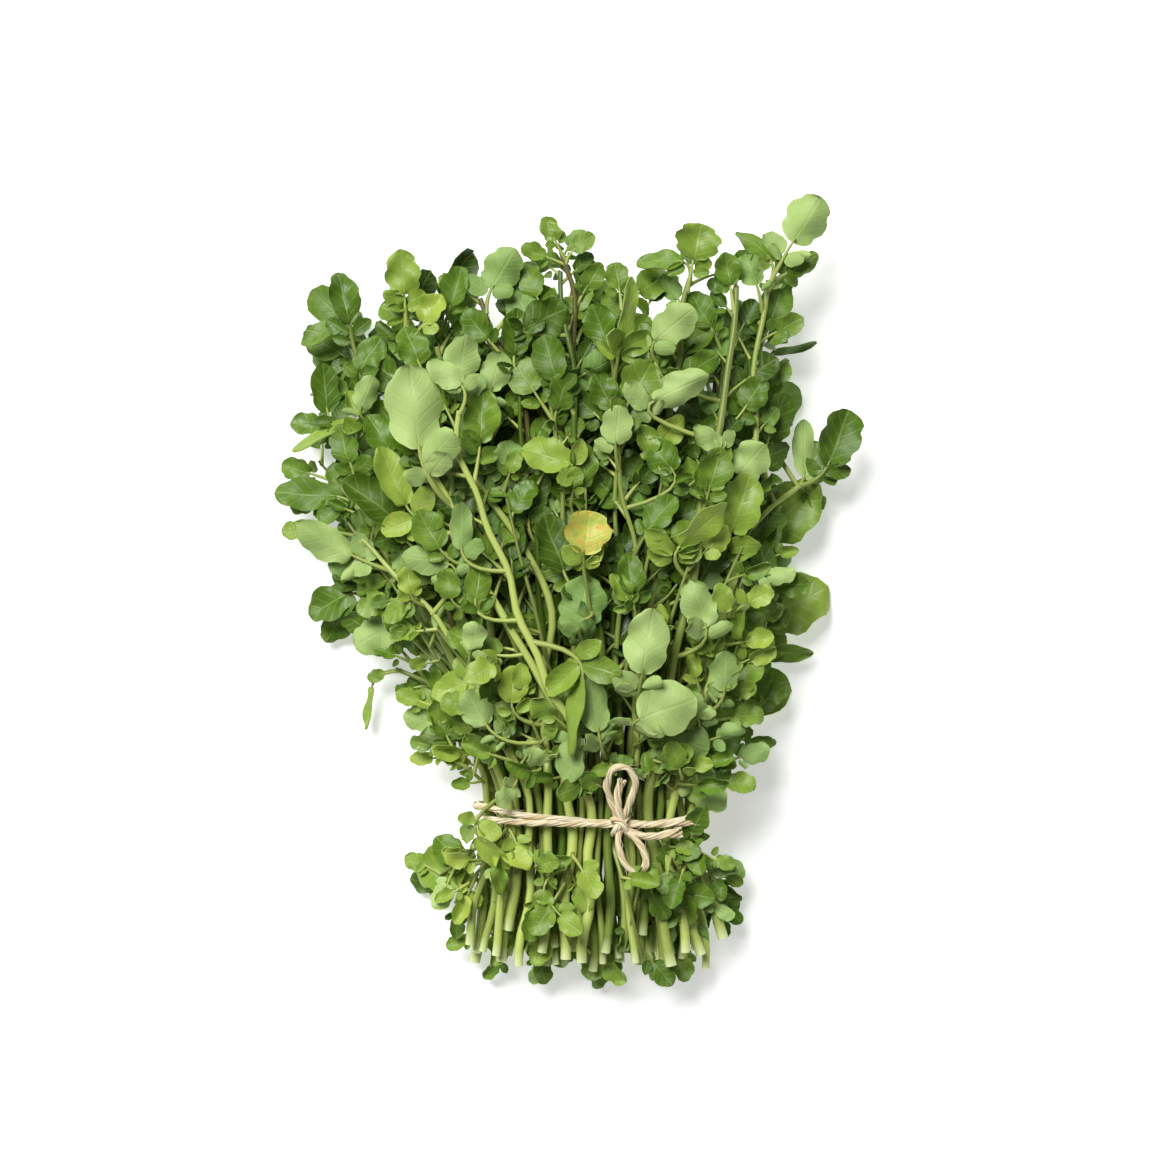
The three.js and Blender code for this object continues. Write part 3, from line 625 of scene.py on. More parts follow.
def tube(path: Array, radii: Array, sides: int, marks: dict[str, Array], ribs: float = 0.0) -> Surface:
    """A closed tube: a circle of the given radius carried along a path, its ends capped.

    The circle stays square to the path and doesn't twist: each ring's frame is the last one's,
    levelled to the new direction. ribs raises five ridges along it, as a share of the radius.

    Args:
        path: the middle line, (n, 3).
        radii: the radius at each point of it.
        sides: corners of the section.
        marks: for each mark, its value at each point of the path.
        ribs: height of the ridges.

    Returns:
        The tube, with u along it in centimetres and v round it.
    """
    count = len(path)
    forward = unit(np.gradient(path, axis=0))
    side = np.empty_like(path)
    start = np.array([0.0, 0.0, 1.0]) if abs(forward[0, 2]) < 0.9 else np.array([1.0, 0.0, 0.0])
    last = unit(np.cross(start, forward[0]))
    for i in range(count):
        last = unit(last - forward[i] * np.dot(last, forward[i]))
        side[i] = last
    up = np.cross(forward, side)
    angle = np.arange(sides) * 2 * np.pi / sides
    reach = radii[:, None] * (1 + ribs * np.cos(5 * angle)[None, :])
    cosine, sine = np.cos(angle)[None, :, None], np.sin(angle)[None, :, None]
    ring = cosine * side[:, None, :] + sine * up[:, None, :]
    points = (path[:, None, :] + reach[:, :, None] * ring).reshape(-1, 3)
    lengths = np.concatenate([[0], np.cumsum(np.linalg.norm(np.diff(path, axis=0), axis=1))])
    uv = np.stack(np.broadcast_arrays(lengths[:, None] / 10, angle[None, :] / (2 * np.pi)), axis=-1)
    rim = np.zeros(count * sides, dtype=bool)
    rim[:sides] = True
    rim[-sides:] = True
    return Surface(
        points=points,
        quads=grid_quads(count, sides, True),
        caps=[np.arange(sides)[::-1], (count - 1) * sides + np.arange(sides)],
        uv=uv.reshape(-1, 2),
        marks={name: np.repeat(values, sides) for name, values in marks.items()},
        rim=rim,
    )


# ---- Leaves --------------------------------------------------------------------------------------


@dataclass
class Leaflet:
    """One leaflet: where its blade starts, how it stands and how its surface runs."""

    base: Array
    forward: Array
    normal: Array
    length: float
    width: float
    tone: float
    grid: Grid
    seed: float
    lobes: float = 3.0
    toothed: float = 0.08
    thickness: float = 0.3

    def surface(self) -> Surface:
        """The blade as a closed thin shell.

        The rows follow an angle round an oval, from near 0 at the stalk to near pi at the tip.
        u, from 0 to 1 along the blade, is from its cosine, and the half width from its sine,
        made a little fuller towards the tip. Across it, v runs from -1 to 1. The margin swings in
        and out by a few per cent as the lobes go by. The height adds a fold up from the midrib,
        a droop of the tip with the square of u, a wave along the margins that grows with the
        square of v, a slow buckle over the whole blade and a small ripple between the side veins.

        Returns:
            The shell, with its marks.
        """
        rows, columns = self.grid.value
        round_it = np.linspace(0.14, np.pi - 0.11, rows)[:, None]
        u = 0.5 - 0.5 * np.cos(round_it)
        u = (u - u[0]) / (u[-1] - u[0])
        v = np.sin(np.linspace(-1, 1, columns) * np.pi / 2)[None, :]
        draw = RandomStream(int(1e6 + 9e8 * self.seed))
        fold = draw.between(0.04, 0.48) if draw.draw() < 0.7 else draw.between(0.5, 1.0)
        fold *= 0.55 if self.grid is Grid.FINE else 1.0
        droop = draw.between(-0.15, 0.42)
        wave, phase = draw.between(0.02, 0.075), draw.between(0, 2 * np.pi)
        lean, fuller = draw.between(-0.10, 0.10), draw.between(-0.06, 0.16)
        buckle, turned = draw.between(0.03, 0.085), draw.between(0, 2 * np.pi)
        span = min(self.length, 1.4 * self.width)
        full = np.sin(round_it) ** 0.86 * (1 + fuller * (2 * u - 1))
        lobe_angle = 2 * self.lobes * round_it + phase + np.sign(v) * 0.7
        teeth = 1 + self.toothed * (np.cos(lobe_angle) - 0.4 * np.cos(2 * lobe_angle)) * np.abs(v) ** 3
        half = 0.5 * self.width * full * teeth
        across = half * v * math.cos(fold)
        height = half * np.abs(v) ** 1.4 * math.sin(fold) - droop * self.length * u**2 * 0.6
        height += wave * span * v**2 * np.sin(2 * np.pi * 1.6 * u + phase + 1.9 * np.sign(v))
        height += buckle * span * np.sin(2 * np.pi * 1.2 * u + turned) * np.cos(2.4 * v - turned)
        height += 0.013 * self.width * np.cos(2 * np.pi * (5 * u - 1.6 * np.abs(v))) * (1 - v**4)
        along = self.length * (u - 0.05 * np.abs(v) ** 2 * full) + lean * half * v**2
        normal = unit(self.normal - self.forward * np.dot(self.normal, self.forward))
        side = np.cross(normal, self.forward)
        middle = (
            self.base
            + along[..., None] * self.forward
            + across[..., None] * side
            + height[..., None] * normal
        ).reshape(-1, 3)
        shell = 0.5 * self.thickness * normal
        upper, lower = middle + shell, middle - shell
        upper[:, 2] = np.maximum(upper[:, 2], 0.12 + self.thickness)
        lower[:, 2] = np.maximum(lower[:, 2], 0.12)
        return self._shell(upper, lower, u, v)

    def _shell(self, upper: Array, lower: Array, u: Array, v: Array) -> Surface:
        """Closes the upper and lower sheets with a strip round the margin.

        The upper quads run the other way round but start at the same corner, so that both sheets
        fold along the same diagonals and stay apart.

        Args:
            upper: the upper sheet's points.
            lower: the lower sheet's points.
            u: share of the way along the blade, one value per row.
            v: share of the way across it, from -1 to 1, one value per column.

        Returns:
            The closed shell, with its marks.
        """
        rows, columns = self.grid.value
        count = rows * columns
        number = np.arange(count).reshape(rows, columns)
        margin = np.concatenate(
            [number[0, :-1], number[:-1, -1], number[-1, :0:-1], number[:0:-1, 0]]
        )
        onward = np.roll(margin, -1)
        top = grid_quads(rows, columns, False)[:, [0, 3, 2, 1]]
        bottom = grid_quads(rows, columns, False) + count
        strip = np.stack([margin, onward, onward + count, margin + count], axis=1)[:, ::-1]
        flat = np.stack(np.broadcast_arrays(u, 0.5 + 0.5 * v), axis=-1).reshape(-1, 2)
        rim = np.zeros(2 * count, dtype=bool)
        rim[margin] = True
        rim[margin + count] = True
        return Surface(
            points=np.vstack([upper, lower]),
            quads=np.vstack([top, bottom, strip]),
            caps=[],
            uv=np.vstack([flat, flat]),
            marks={
                "tone": np.full(2 * count, self.tone),
                "under": np.repeat([0.0, 1.0], count),
                "vary": np.full(2 * count, self.seed),
            },
            rim=rim,
        )


@dataclass
class PlannedLeaf:
    """An end leaflet as it is packed: the middle of its blade, how it stands and its stalk."""

    middle: Array
    heading: float
    length: float
    width: float
    pitch: float
    roll: float
    stalk: float
    tone: float

    def axes(self) -> tuple[Array, Array]:
        """How the blade stands.

        Returns:
            Its forward direction and its upper side's normal.
        """
        turn, lift, roll = (math.radians(a) for a in (self.heading, self.pitch, self.roll))
        forward = np.array([
            math.cos(turn) * math.cos(lift), math.sin(turn) * math.cos(lift), math.sin(lift)])
        level = np.array([-math.sin(turn), math.cos(turn), 0.0])
        up = np.cross(forward, level)
        return forward, up * math.cos(roll) - level * math.sin(roll)

    def packed_in(self, corners: Array) -> bool:
        """Looks for the plain blade of this place in a node.

        Args:
            corners: the node's corners, (n, 3).

        Returns:
            True if at least four corners of the blade are among them.
        """
        forward, normal = self.axes()
        side = np.cross(normal, forward)
        base = self.middle - forward * self.length / 2
        outline = ((0.24, 0.42), (0.24, -0.42), (0.74, 0.48), (0.74, -0.48), (1, 0))
        places = [
            base + forward * a * self.length + side * b * self.width + normal * c * BLADE_THICKNESS / 2
            for a, b in outline for c in (1, -1)
        ]
        apart = np.linalg.norm(corners[None, :, :] - np.array(places)[:, None, :], axis=2).min(axis=1)
        return int((apart < 0.05).sum()) >= 4


class Sprig:
    """A ribbed stem that carries compound leaves."""

    RING_STEP = 4.6
    STEM_SIDES = 10
    STALK_RINGS = 7
    STALK_SIDES = 5
    TOOTHED = 0.085
    NARROW = 4.2

    def __init__(self, stem: Curve, seed: int, look: StemLook | None = None) -> None:
        """Sets the stem.

        Args:
            stem: its middle line.
            seed: starts the sprig's random stream.
            look: how it looks, if that isn't drawn by chance.
        """
        self.stem = stem
        self.random = RandomStream(seed)
        drawn = StemLook(
            self.random.between(0.55, 0.98), self.random.between(-0.15, 0.75),
            1.0 if self.random.draw() < 0.16 else 0.1)
        self.look = look or drawn

    def add_stem(self, stems: Piece, wander: float = 0.8) -> None:
        """A ribbed tube that tapers to the tip, swollen a little at its joints, cut square.

        Args:
            stems: what it is added to.
            wander: how far it sways to each side of its middle line.
        """
        rings = max(9, round(self.stem.length / self.RING_STEP))
        shares = np.linspace(0, 1, rings)
        path = self.stem.by_length(shares)
        waves = shares * self.stem.length / self.random.between(26, 48) + self.random.draw()
        path[:, 0] += wander * np.sin(2 * np.pi * waves)
        radii = self.look.thick * (STEM_RADIUS + (TIP_RADIUS - STEM_RADIUS) * shares)
        radii *= 1 + 0.05 * np.cos(2 * np.pi * (shares * self.stem.length / 24 + self.random.draw()))
        path[:, 2] = np.maximum(path[:, 2], 1.05 * radii + 0.1)
        tone = self.look.tone + 0.12 - 0.3 * shares
        cut = np.zeros(rings)
        cut[0] = 1
        marks = {"tone": tone, "cut": cut, "blush": self.look.blush * shares}
        stems.add(tube(path, radii, self.STEM_SIDES, marks, ribs=0.05))

    def add_leaf(self, leaf: PlannedLeaf, stems: Piece, blades: Piece, grid: Grid) -> None:
        """One compound leaf: its stalk from the stem, its end leaflet and its side leaflets.

        The stalk is a curve pulled towards the blade's own direction. Side leaflets stand in
        pairs on it, smaller the nearer they are to the stem.

        Args:
            leaf: the leaf's place.
            stems: what the stalk is added to.
            blades: what the leaflets are added to.
            grid: how finely the end leaflet is made.
        """
        forward, normal = leaf.axes()
        base = leaf.middle - forward * leaf.length / 2
        wanted = base - forward * leaf.stalk
        along = self.stem.by_length(np.linspace(0.06, 0.99, 120))
        start = along[np.linalg.norm(along - wanted, axis=1).argmin()]
        bend = base - forward * 0.45 * np.linalg.norm(base - start)
        t = np.linspace(0, 1, self.STALK_RINGS)[:, None]
        into = base + forward * min(1.5, 0.12 * leaf.length)
        path = (1 - t) ** 2 * start + 2 * t * (1 - t) * bend + t**2 * into
        thin = 0.55 + 0.02 * leaf.length
        radii = np.linspace(thin, 0.42 * thin, self.STALK_RINGS)
        path[:, 2] = np.maximum(path[:, 2], radii + 0.1)
        count = self.STALK_RINGS
        tone = np.full(count, self.random.between(0.3, 0.9))
        marks = {"tone": tone, "cut": np.zeros(count), "blush": np.full(count, 0.15)}
        stems.add(tube(path, radii, self.STALK_SIDES, marks))
        blades.add(Leaflet(
            base, forward, normal, leaf.length, leaf.width, leaf.tone, grid,
            self.random.draw(), lobes=self.random.between(2.6, 4.0),
            toothed=self.TOOTHED * min(1.0, 1.3 * leaf.width / leaf.length)).surface())
        if leaf.width > self.NARROW:
            self._add_side_leaflets(
                leaf, path, normal, blades, Grid.SMALL if grid is Grid.FINE else Grid.TINY)

    def _add_side_leaflets(
        self, leaf: PlannedLeaf, path: Array, normal: Array, blades: Piece, grid: Grid
    ) -> None:
        """Adds pairs of small leaflets along a leaf's stalk.

        Args:
            leaf: the leaf's place.
            path: the stalk's middle line, (n, 3).
            normal: the upper side's normal of the end leaflet.
            blades: what they are added to.
            grid: how finely they are made.
        """
        reach = float(np.linalg.norm(path[-1] - path[0]))
        pairs = ((0.78, 0.5), (0.5, 0.38))[: 2 if reach > 11 else 1]
        for share, size in pairs:
            place = share * (len(path) - 1)
            point = path[int(place)]
            onward = unit(path[int(place) + 1] - path[int(place)])
            for hand in (-1, 1):
                length = leaf.length * size * self.random.between(0.75, 1.15)
                if length < 2.5 or self.random.draw() < 0.12:
                    continue
                up = turn_about(unit(normal - onward * np.dot(normal, onward)), onward,
                                self.random.between(-35, 35))
                out = turn_about(onward, up, hand * self.random.between(48, 78))
                blades.add(Leaflet(
                    point + out * 0.9, out, up, length, length * self.random.between(0.66, 0.86),
                    min(leaf.tone, 1.0) * self.random.between(0.75, 1.15), grid,
                    self.random.draw(), lobes=1.5).surface())

    def young_leaves(self, first: float, low: float, high: float) -> list[PlannedLeaf]:
        """Younger and smaller leaves, alternating along the stem.

        Args:
            first: how far from the tie they begin.
            low: the lowest side that they leave on, in degrees above the stem's right or left.
            high: the highest.

        Returns:
            Their places.
        """
        leaves = []
        shares = np.linspace(0, 1, 200)
        reach = self.stem.by_length(shares)[:, 1]
        y = first + self.random.between(0, 9)
        right = True
        while y < reach[-1] + 2:
            rise = self.random.between(low, high)
            underside = self.random.draw() < 0.18
            leaves.append(stem_leaf(
                self.stem, float(np.interp(min(y, reach[-1]), reach, shares)),
                rise if right else 180 - rise, self.random.between(6.5, 14),
                self.random.between(28, 68), self.random.between(-35, 35) + 180 * underside,
                self.random.between(0.0, 0.6)))
            right = not right
            y += self.random.between(5.5, 9.5)
        return leaves


class Shoot(Sprig):
    """One packed shoot, with the leaves it has in the frame and the younger ones between."""

    def __init__(
        self, name: str, stem: Curve, leaves: list[list[PlannedLeaf]], top: bool, seed: int,
        look: StemLook | None = None,
    ) -> None:
        """Sets the shoot's stem and, for each leaf, the places it may be packed in.

        Args:
            name: the frame's node.
            stem: the stem's middle line.
            leaves: for each leaf, its possible places in order.
            top: true for a shoot listed one by one, on top of the bunch.
            seed: starts its random stream.
            look: how the stem looks, if it isn't left to chance.
        """
        super().__init__(stem, seed, look)
        self.name = name
        self.top = top
        self.leaves = self._packed(leaves)

    def _packed(self, leaves: list[list[PlannedLeaf]]) -> list[PlannedLeaf]:
        """Finds the place that each leaf has in the frame.

        Args:
            leaves: for each leaf, its possible places in order.

        Returns:
            The places found. A row's leaf that the frame leaves out has none.
        """
        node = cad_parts[self.name]
        corners = np.empty(3 * len(node.data.vertices), dtype=np.float32)
        node.data.vertices.foreach_get("co", corners)
        corners = np.unique(np.round(corners.reshape(-1, 3) / MM, 2), axis=0)
        found = []
        for places in leaves:
            match = [place for place in places if place.packed_in(corners)]
            if match:
                found.append(match[0])
            elif self.top:
                found.append(places[0])
        return found

    def build(self, stem_finish: bpy.types.Material, leaf_finish: bpy.types.Material) -> None:
        """Makes the stem and the leaves, and puts them in the place of the shoot's node.

        Args:
            stem_finish: the stem's material.
            leaf_finish: the leaves' material.
        """
        stems = Piece(f"{self.name}_stem", ("tone", "cut", "blush"))
        blades = Piece(f"{self.name}_leaves", ("tone", "under", "vary"))
        self.add_stem(stems)
        for leaf in self.leaves:
            self.add_leaf(leaf, stems, blades, Grid.FINE if self.top else Grid.MEDIUM)
        if self.top:
            young = self.young_leaves(first=62.0, low=-65, high=-20)
        else:
            young = self.young_leaves(first=48.0, low=-55, high=10)
        for leaf in young:
            self.add_leaf(leaf, stems, blades, Grid.SMALL)
        stems.make(stem_finish, (self.name,))
        blades.make(leaf_finish, (self.name,))


def stem_leaf(
    stem: Curve, share: float, side: float, size: float, lean: float, roll: float, tone: float
) -> PlannedLeaf:
    """A leaf that leaves its stem at a share of its length.

    Args:
        stem: the stem's middle line.
        share: where on it the leaf starts.
        side: the side it leaves on, in degrees round the stem from its right.
        size: the end leaflet's length.
        lean: degrees between the stem and the leaf.
        roll: turn of the blade about its midrib.
        tone: from dark, 0, to pale, 1.

    Returns:
        The leaf's place.
    """
    point = stem.by_length(share)[0]
    along = stem.heading(share)
    across = unit(np.array([along[1], -along[0], 0.0]))
    up = np.cross(across, along)
    turn, tilt = math.radians(side), math.radians(lean)
    out = across * math.cos(turn) + up * math.sin(turn)
    forward = along * math.cos(tilt) + out * math.sin(tilt)
    stalk = 0.85 * size
    middle = point + forward * (stalk + size / 2)
    middle[2] = max(middle[2], 1.2)
    return PlannedLeaf(
        middle=middle,
        heading=math.degrees(math.atan2(forward[1], forward[0])),
        length=size,
        width=0.8 * size,
        pitch=math.degrees(math.asin(min(max(0.5 * forward[2], -0.5), 0.5))),
        roll=roll,
        stalk=stalk,
        tone=tone,
    )


class Bunch:
    """All the shoots, as they lie in the frame."""

    def __init__(self) -> None:
        """Plans the top shoots and the rows below."""
        self.tones = RandomStream(40960011)
        self.shoots = [self._top_shoot(shoot, 7001 + 13 * i) for i, shoot in enumerate(TOP_SHOOTS)]
        for row in ROWS:
            self.shoots += self._row_shoots(row)

    def _top_shoot(self, shoot: TopShoot, seed: int) -> Shoot:
        """Plans a shoot whose place is listed in the table.

        Args:
            shoot: its row of the table.
            seed: starts its random stream.

        Returns:
            The shoot.
        """
        leaves = [
            [
                PlannedLeaf(np.array([x, y, z + lift]), heading, length, width, pitch, roll + turn,
                            0.8 * length, tone)
                for lift, turn in TOP_TRIES
            ]
            for x, y, z, heading, length, width, pitch, roll, tone in shoot.leaves
        ]
        stem = Curve(np.array(shoot.route, dtype=float))
        return Shoot(shoot.name, stem, leaves, True, seed * 104729, STEM_LOOKS.get(shoot.name))

    def _row_stem(self, row: Row, x: float, top: float, cut: float) -> Curve:
        """A row's stem: fanned out and climbing by the same law as its neighbours.

        Sideways it leaves the tie with a power of its distance from it, and it climbs over the
        middle of the bunch. Its cut end spreads a little and sags to the table.

        Args:
            row: the row's sizes.
            x: where it crosses the tie.
            top: how far above the tie it ends.
            cut: how far below the tie it is cut, as a negative number.

        Returns:
            Its middle line.
        """
        level = LOWEST_ROW + ROW_PITCH * row.level
        points = []
        for station in (cut, 0.0, 0.25, 0.5, 0.75, 1.0):
            y = station * top if station > 0 else station
            share = max(y, 0.0) / FAN_LENGTH
            fan = (x * (row.spread - 1) + row.shift) * share**FAN_POWER
            flare = -0.004 * x * y if y < 0 else 0.0
            dome = 1 - 0.8 * ((x + fan) / 70) ** 2
            climb = row.climb * min(1.0, 1.6 * share) * dome
            sags = y < 0 or row.level == 0
            sag = SAG * min(1.0, abs(y) / SAG_LENGTH) if sags else 0.0
            points.append((x + fan + flare, y, level + climb - sag))
        return Curve(np.array(points))

    def _row_shoots(self, row: Row) -> list[Shoot]:
        """The shoots of one row, with the same draws as in the frame.

        Args:
            row: the row's sizes.

        Returns:
            The shoots, from left to right.
        """
        random = RandomStream(row.seed)
        shoots = []
        for i in range(row.count):
            x = (i - (row.count - 1) / 2) * row.pitch
            top = 92 + 62 * random.draw() - 0.25 * abs(x)
            stem = self._row_stem(row, x, top, -38 - 8 * random.draw())
            leaves = []
            for k in range(LEAVES_PER_SHOOT):
                place = (k + 0.6 * random.draw()) / LEAVES_PER_SHOOT
                share = row.first_leaf + (1 - row.first_leaf) * place
                side = 180 * (k % 2) + 60 * (random.draw() - 0.5)
                size = 16 + 8 * random.draw()
                lean = 30 + 25 * random.draw()
                roll = 50 * (random.draw() - 0.5) + (180 if random.draw() < 0.3 else 0)
                # Painted shade: each level lower down the bunch makes the leaves 0.08 darker, standing
                # in for the shade deep among the stems. The rows right of x = 12 mm are paler.
                tone = self.tones.between(-0.1, 0.5) + 0.08 * row.level + (0.34 if x > 12 else 0.0)
                leaves.append([
                    stem_leaf(stem, min(share, 0.98), side + turn, size * scale, lean, roll, tone)
                    for turn, scale in ROW_TRIES
                ])
            name = f"row{row.level + 1}_shoot_{i + 1}"
            shoots.append(Shoot(name, stem, leaves, False, 15485863 + 7919 * i + 100003 * row.level))
        return shoots

    def build(self, stem_finish: bpy.types.Material, leaf_finish: bpy.types.Material) -> None:
        """Makes every shoot, and the slender ones in the gaps between four stems.

        Args:
            stem_finish: the stems' material.
            leaf_finish: the leaves' material.
        """
        for shoot in self.shoots:
            shoot.build(stem_finish, leaf_finish)
        for number, row in enumerate(SLENDER_ROWS, start=1):
            self._slender_row(f"slender_row_{number}", row, stem_finish, leaf_finish)

    def _slender_row(
        self, name: str, row: Row, stem_finish: bpy.types.Material, leaf_finish: bpy.types.Material
    ) -> None:
        """Makes a row of slender shoots as one piece of stems and one of leaves.

        Args:
            name: the start of both names.
            row: the row's sizes.
            stem_finish: the stems' material.
            leaf_finish: the leaves' material.
        """
        stems = Piece(f"{name}_stems", ("tone", "cut", "blush"))
        blades = Piece(f"{name}_leaves", ("tone", "under", "vary"))
        random = RandomStream(row.seed)
        for i in range(row.count):
            x = (i - (row.count - 1) / 2) * row.pitch + random.between(-0.7, 0.7)
            top = random.between(70, 150) - 0.25 * abs(x)
            stem = self._row_stem(row, x, top, -random.between(33, 44))
            look = StemLook(random.between(0.6, 0.9), random.between(-0.1, 0.55), 0.1)
            sprig = Sprig(stem, row.seed + 4099 * i, look)
            sprig.add_stem(stems)
            for leaf in sprig.young_leaves(first=45.0, low=-55, high=10):
                sprig.add_leaf(leaf, stems, blades, Grid.SMALL)
        stems.make(stem_finish, ())
        blades.make(leaf_finish, ())


class LooseSprigs:
    """Short thin sprigs caught among the stems, beside the tie and at the cut ends."""

    SIZE = (5.0, 10.0)
    ROOT_DEPTH = 9.0
    SEED = 50331653
    LOOK = StemLook(thick=0.42, tone=0.35, blush=0.3)

    def build(self, stem_finish: bpy.types.Material, leaf_finish: bpy.types.Material) -> None:
        """Makes all the sprigs as one piece of stems and one of leaves.

        Args:
            stem_finish: the stems' material.
            leaf_finish: the leaves' material.
        """
        stems = Piece("loose_sprig_stems", ("tone", "cut", "blush"))
        blades = Piece("loose_sprig_leaves", ("tone", "under", "vary"))
        for i, (start, end, lift, count, tone) in enumerate(LOOSE_SPRIGS):
            start, end = np.array(start, dtype=float), np.array(end, dtype=float)
            middle = (start + end) / 2 + np.array([0, 0, lift])
            start[2] = max(start[2] - self.ROOT_DEPTH, 2.0)
            line = Curve(np.stack([start, middle, end]))
            sprig = Sprig(line, self.SEED + 911 * i, self.LOOK)
            sprig.add_stem(stems, wander=0.2)
            for k in range(count):
                share = 0.35 + 0.63 * k / max(count - 1, 1)
                random = sprig.random
                side = (20 if k % 2 else 160) + random.between(-50, 50)
                leaf = stem_leaf(
                    sprig.stem, share, side, random.between(*self.SIZE), random.between(25, 70),
                    random.between(-30, 30) + (180 if random.draw() < 0.2 else 0),
                    tone + random.between(-0.2, 0.2))
                sprig.add_leaf(leaf, stems, blades, Grid.MEDIUM)
        stems.make(stem_finish, ())
        blades.make(leaf_finish, ())


# ---- The twine -----------------------------------------------------------------------------------


@dataclass
class Tie:
    """The jute twine: two turns round the stems, a knot, two bow loops and two ends."""

    half_width: float = 34.2
    bottom: float = 0.9
    top: float = 28.6
    squareness: float = 0.55
    strand_radius: float = 0.42
    strand_reach: float = 0.62
    strands: int = 6
    pitch: float = 17.0
    knot: tuple[float, float, float] = (9.0, -1.2, 28.6)
    lower_loop: tuple[tuple[float, float, float], ...] = (
        (9, -2, 30), (8.4, -7, 31), (10.2, -12.5, 31.6), (14, -15.4, 31.6), (16.6, -13, 31.4),
        (15.4, -8, 31.2), (10.5, -2.5, 30.6),
    )
    upper_loop: tuple[tuple[float, float, float], ...] = (
        (8.6, -0.5, 30), (6.6, 5, 32.2), (5, 11, 34.4), (7, 15.6, 36), (11, 16, 36.2),
        (13.4, 12, 35), (12, 6, 32.8), (9.6, 0, 30.6),
    )
    long_end: tuple[tuple[float, float, float], ...] = (
        (10, -2, 30.4), (16, -4.6, 30.8), (22, -4.2, 30.4), (27.5, -3.4, 29.8),
    )
    short_end: tuple[tuple[float, float, float], ...] = (
        (10, -2, 31), (8.6, 3, 32.4), (8.2, 8, 33.6), (9.6, 12.5, 34.6),
    )
    random: RandomStream = field(default_factory=lambda: RandomStream(31415927))

    def turn(self, left_y: float, right_y: float) -> Curve:
        """One turn round the stems: a rounded oblong from under the knot and back to it.

        x and z are the powers of a circle's cosine and sine, which squares its corners, and y
        runs from the knot to the turn's place beside it.

        Args:
            left_y: where along the stems it lies on the left.
            right_y: the same on the right.

        Returns:
            Its middle line.
        """
        steps = 20
        i = np.arange(steps + 1)
        angle = np.pi / 2 - 0.28 - 2 * np.pi * i / steps
        middle, half_height = (self.top + self.bottom) / 2, (self.top - self.bottom) / 2
        x = self.half_width * np.sign(np.cos(angle)) * np.abs(np.cos(angle)) ** self.squareness
        z = middle + half_height * np.sign(np.sin(angle)) * np.abs(np.sin(angle)) ** self.squareness
        side = np.where(i < steps / 2, right_y, left_y)
        away = np.minimum(1, np.minimum(i, steps - i) / (0.2 * steps))
        y = self.knot[1] + (side - self.knot[1]) * away
        return Curve(np.stack([x, y, z], axis=1))

    def lay(self, piece: Piece, curve: Curve, frayed: float = 0.0) -> None:
        """Lays strands along a curve, wound slowly round it.

        Each strand follows the curve at strand_reach from it, turning once every pitch, and its
        distance and thickness wander a little. Frayed ends spread at the far end.

        Args:
            piece: what the strands are added to.
            curve: the middle line of the twine.
            frayed: how far the strands spread at the far end.
        """
        rings = max(10, int(curve.length / 0.9))
        shares = np.linspace(0, 1, rings)
        path = curve.by_length(shares)
        forward = unit(np.gradient(path, axis=0))
        side = unit(np.cross(forward, np.array([0.03, 0.05, 1.0])))
        up = np.cross(side, forward)
        for k in range(self.strands):
            phase = 2 * np.pi * (k / self.strands + 0.06 * self.random.draw())
            wander = self.random.between(0, 2 * np.pi)
            turn = phase + 2 * np.pi * shares * curve.length / self.pitch
            reach = self.strand_reach * (1 + 0.28 * np.sin(shares * curve.length / 4.1 + wander))
            reach = reach + frayed * np.clip(shares - 0.72, 0, 1) * self.random.between(0.6, 1.6)
            line = path + (np.cos(turn) * reach)[:, None] * side + (np.sin(turn) * reach)[:, None] * up
            radii = self.strand_radius * (1 + 0.22 * np.sin(shares * curve.length / 2.7 + 2 * wander))
            line[:, 2] = np.maximum(line[:, 2], radii + 0.05)
            marks = {"tone": np.full(rings, self.random.draw())}
            piece.add(tube(line, radii, 6, marks))

    def fibres(self, piece: Piece, curve: Curve, count: int) -> None:
        """Adds stray fibres that stand off a curve in short arcs.

        Args:
            piece: what they are added to.
            curve: the middle line of the twine.
            count: how many there are.
        """
        for _ in range(count):
            share = self.random.between(0.02, 0.98)
            start = curve.by_length(share)[0]
            forward = curve.heading(share)
            out = unit(np.array([self.random.between(-1, 1), self.random.between(-1, 1),
                                 self.random.between(-0.2, 1)]))
            length = self.random.between(1.5, 4.5)
            t = np.linspace(0, 1, 5)[:, None]
            line = start + forward * length * t + out * (0.8 + 0.55 * length * t**2)
            line[:, 2] = np.maximum(line[:, 2], 0.1)
            radii = np.linspace(0.08, 0.04, 5)
            piece.add(tube(line, radii, 3, {"tone": np.full(5, 0.9)}))

    def build(self, finish: bpy.types.Material) -> None:
        """Makes the whole tie in the place of the frame's twine.

        Args:
            finish: the twine's material.
        """
        piece = Piece("twine_strands", ("tone",))
        upper, lower = self.turn(4, 2.6), self.turn(0, 0)
        loops = [Curve(np.array(points, dtype=float)) for points in (self.lower_loop, self.upper_loop)]
        ends = [Curve(np.array(points, dtype=float)) for points in (self.long_end, self.short_end)]
        for curve in (upper, lower, *loops):
            self.lay(piece, curve)
        for curve in ends:
            self.lay(piece, curve, frayed=2.4)
        for curve, count in ((upper, 50), (lower, 50), (loops[0], 14), (loops[1], 14), (ends[0], 12)):
            self.fibres(piece, curve, count)
        for line in self._knot_curves():
            self.lay(piece, line)
        piece.make(finish, ("twine",))

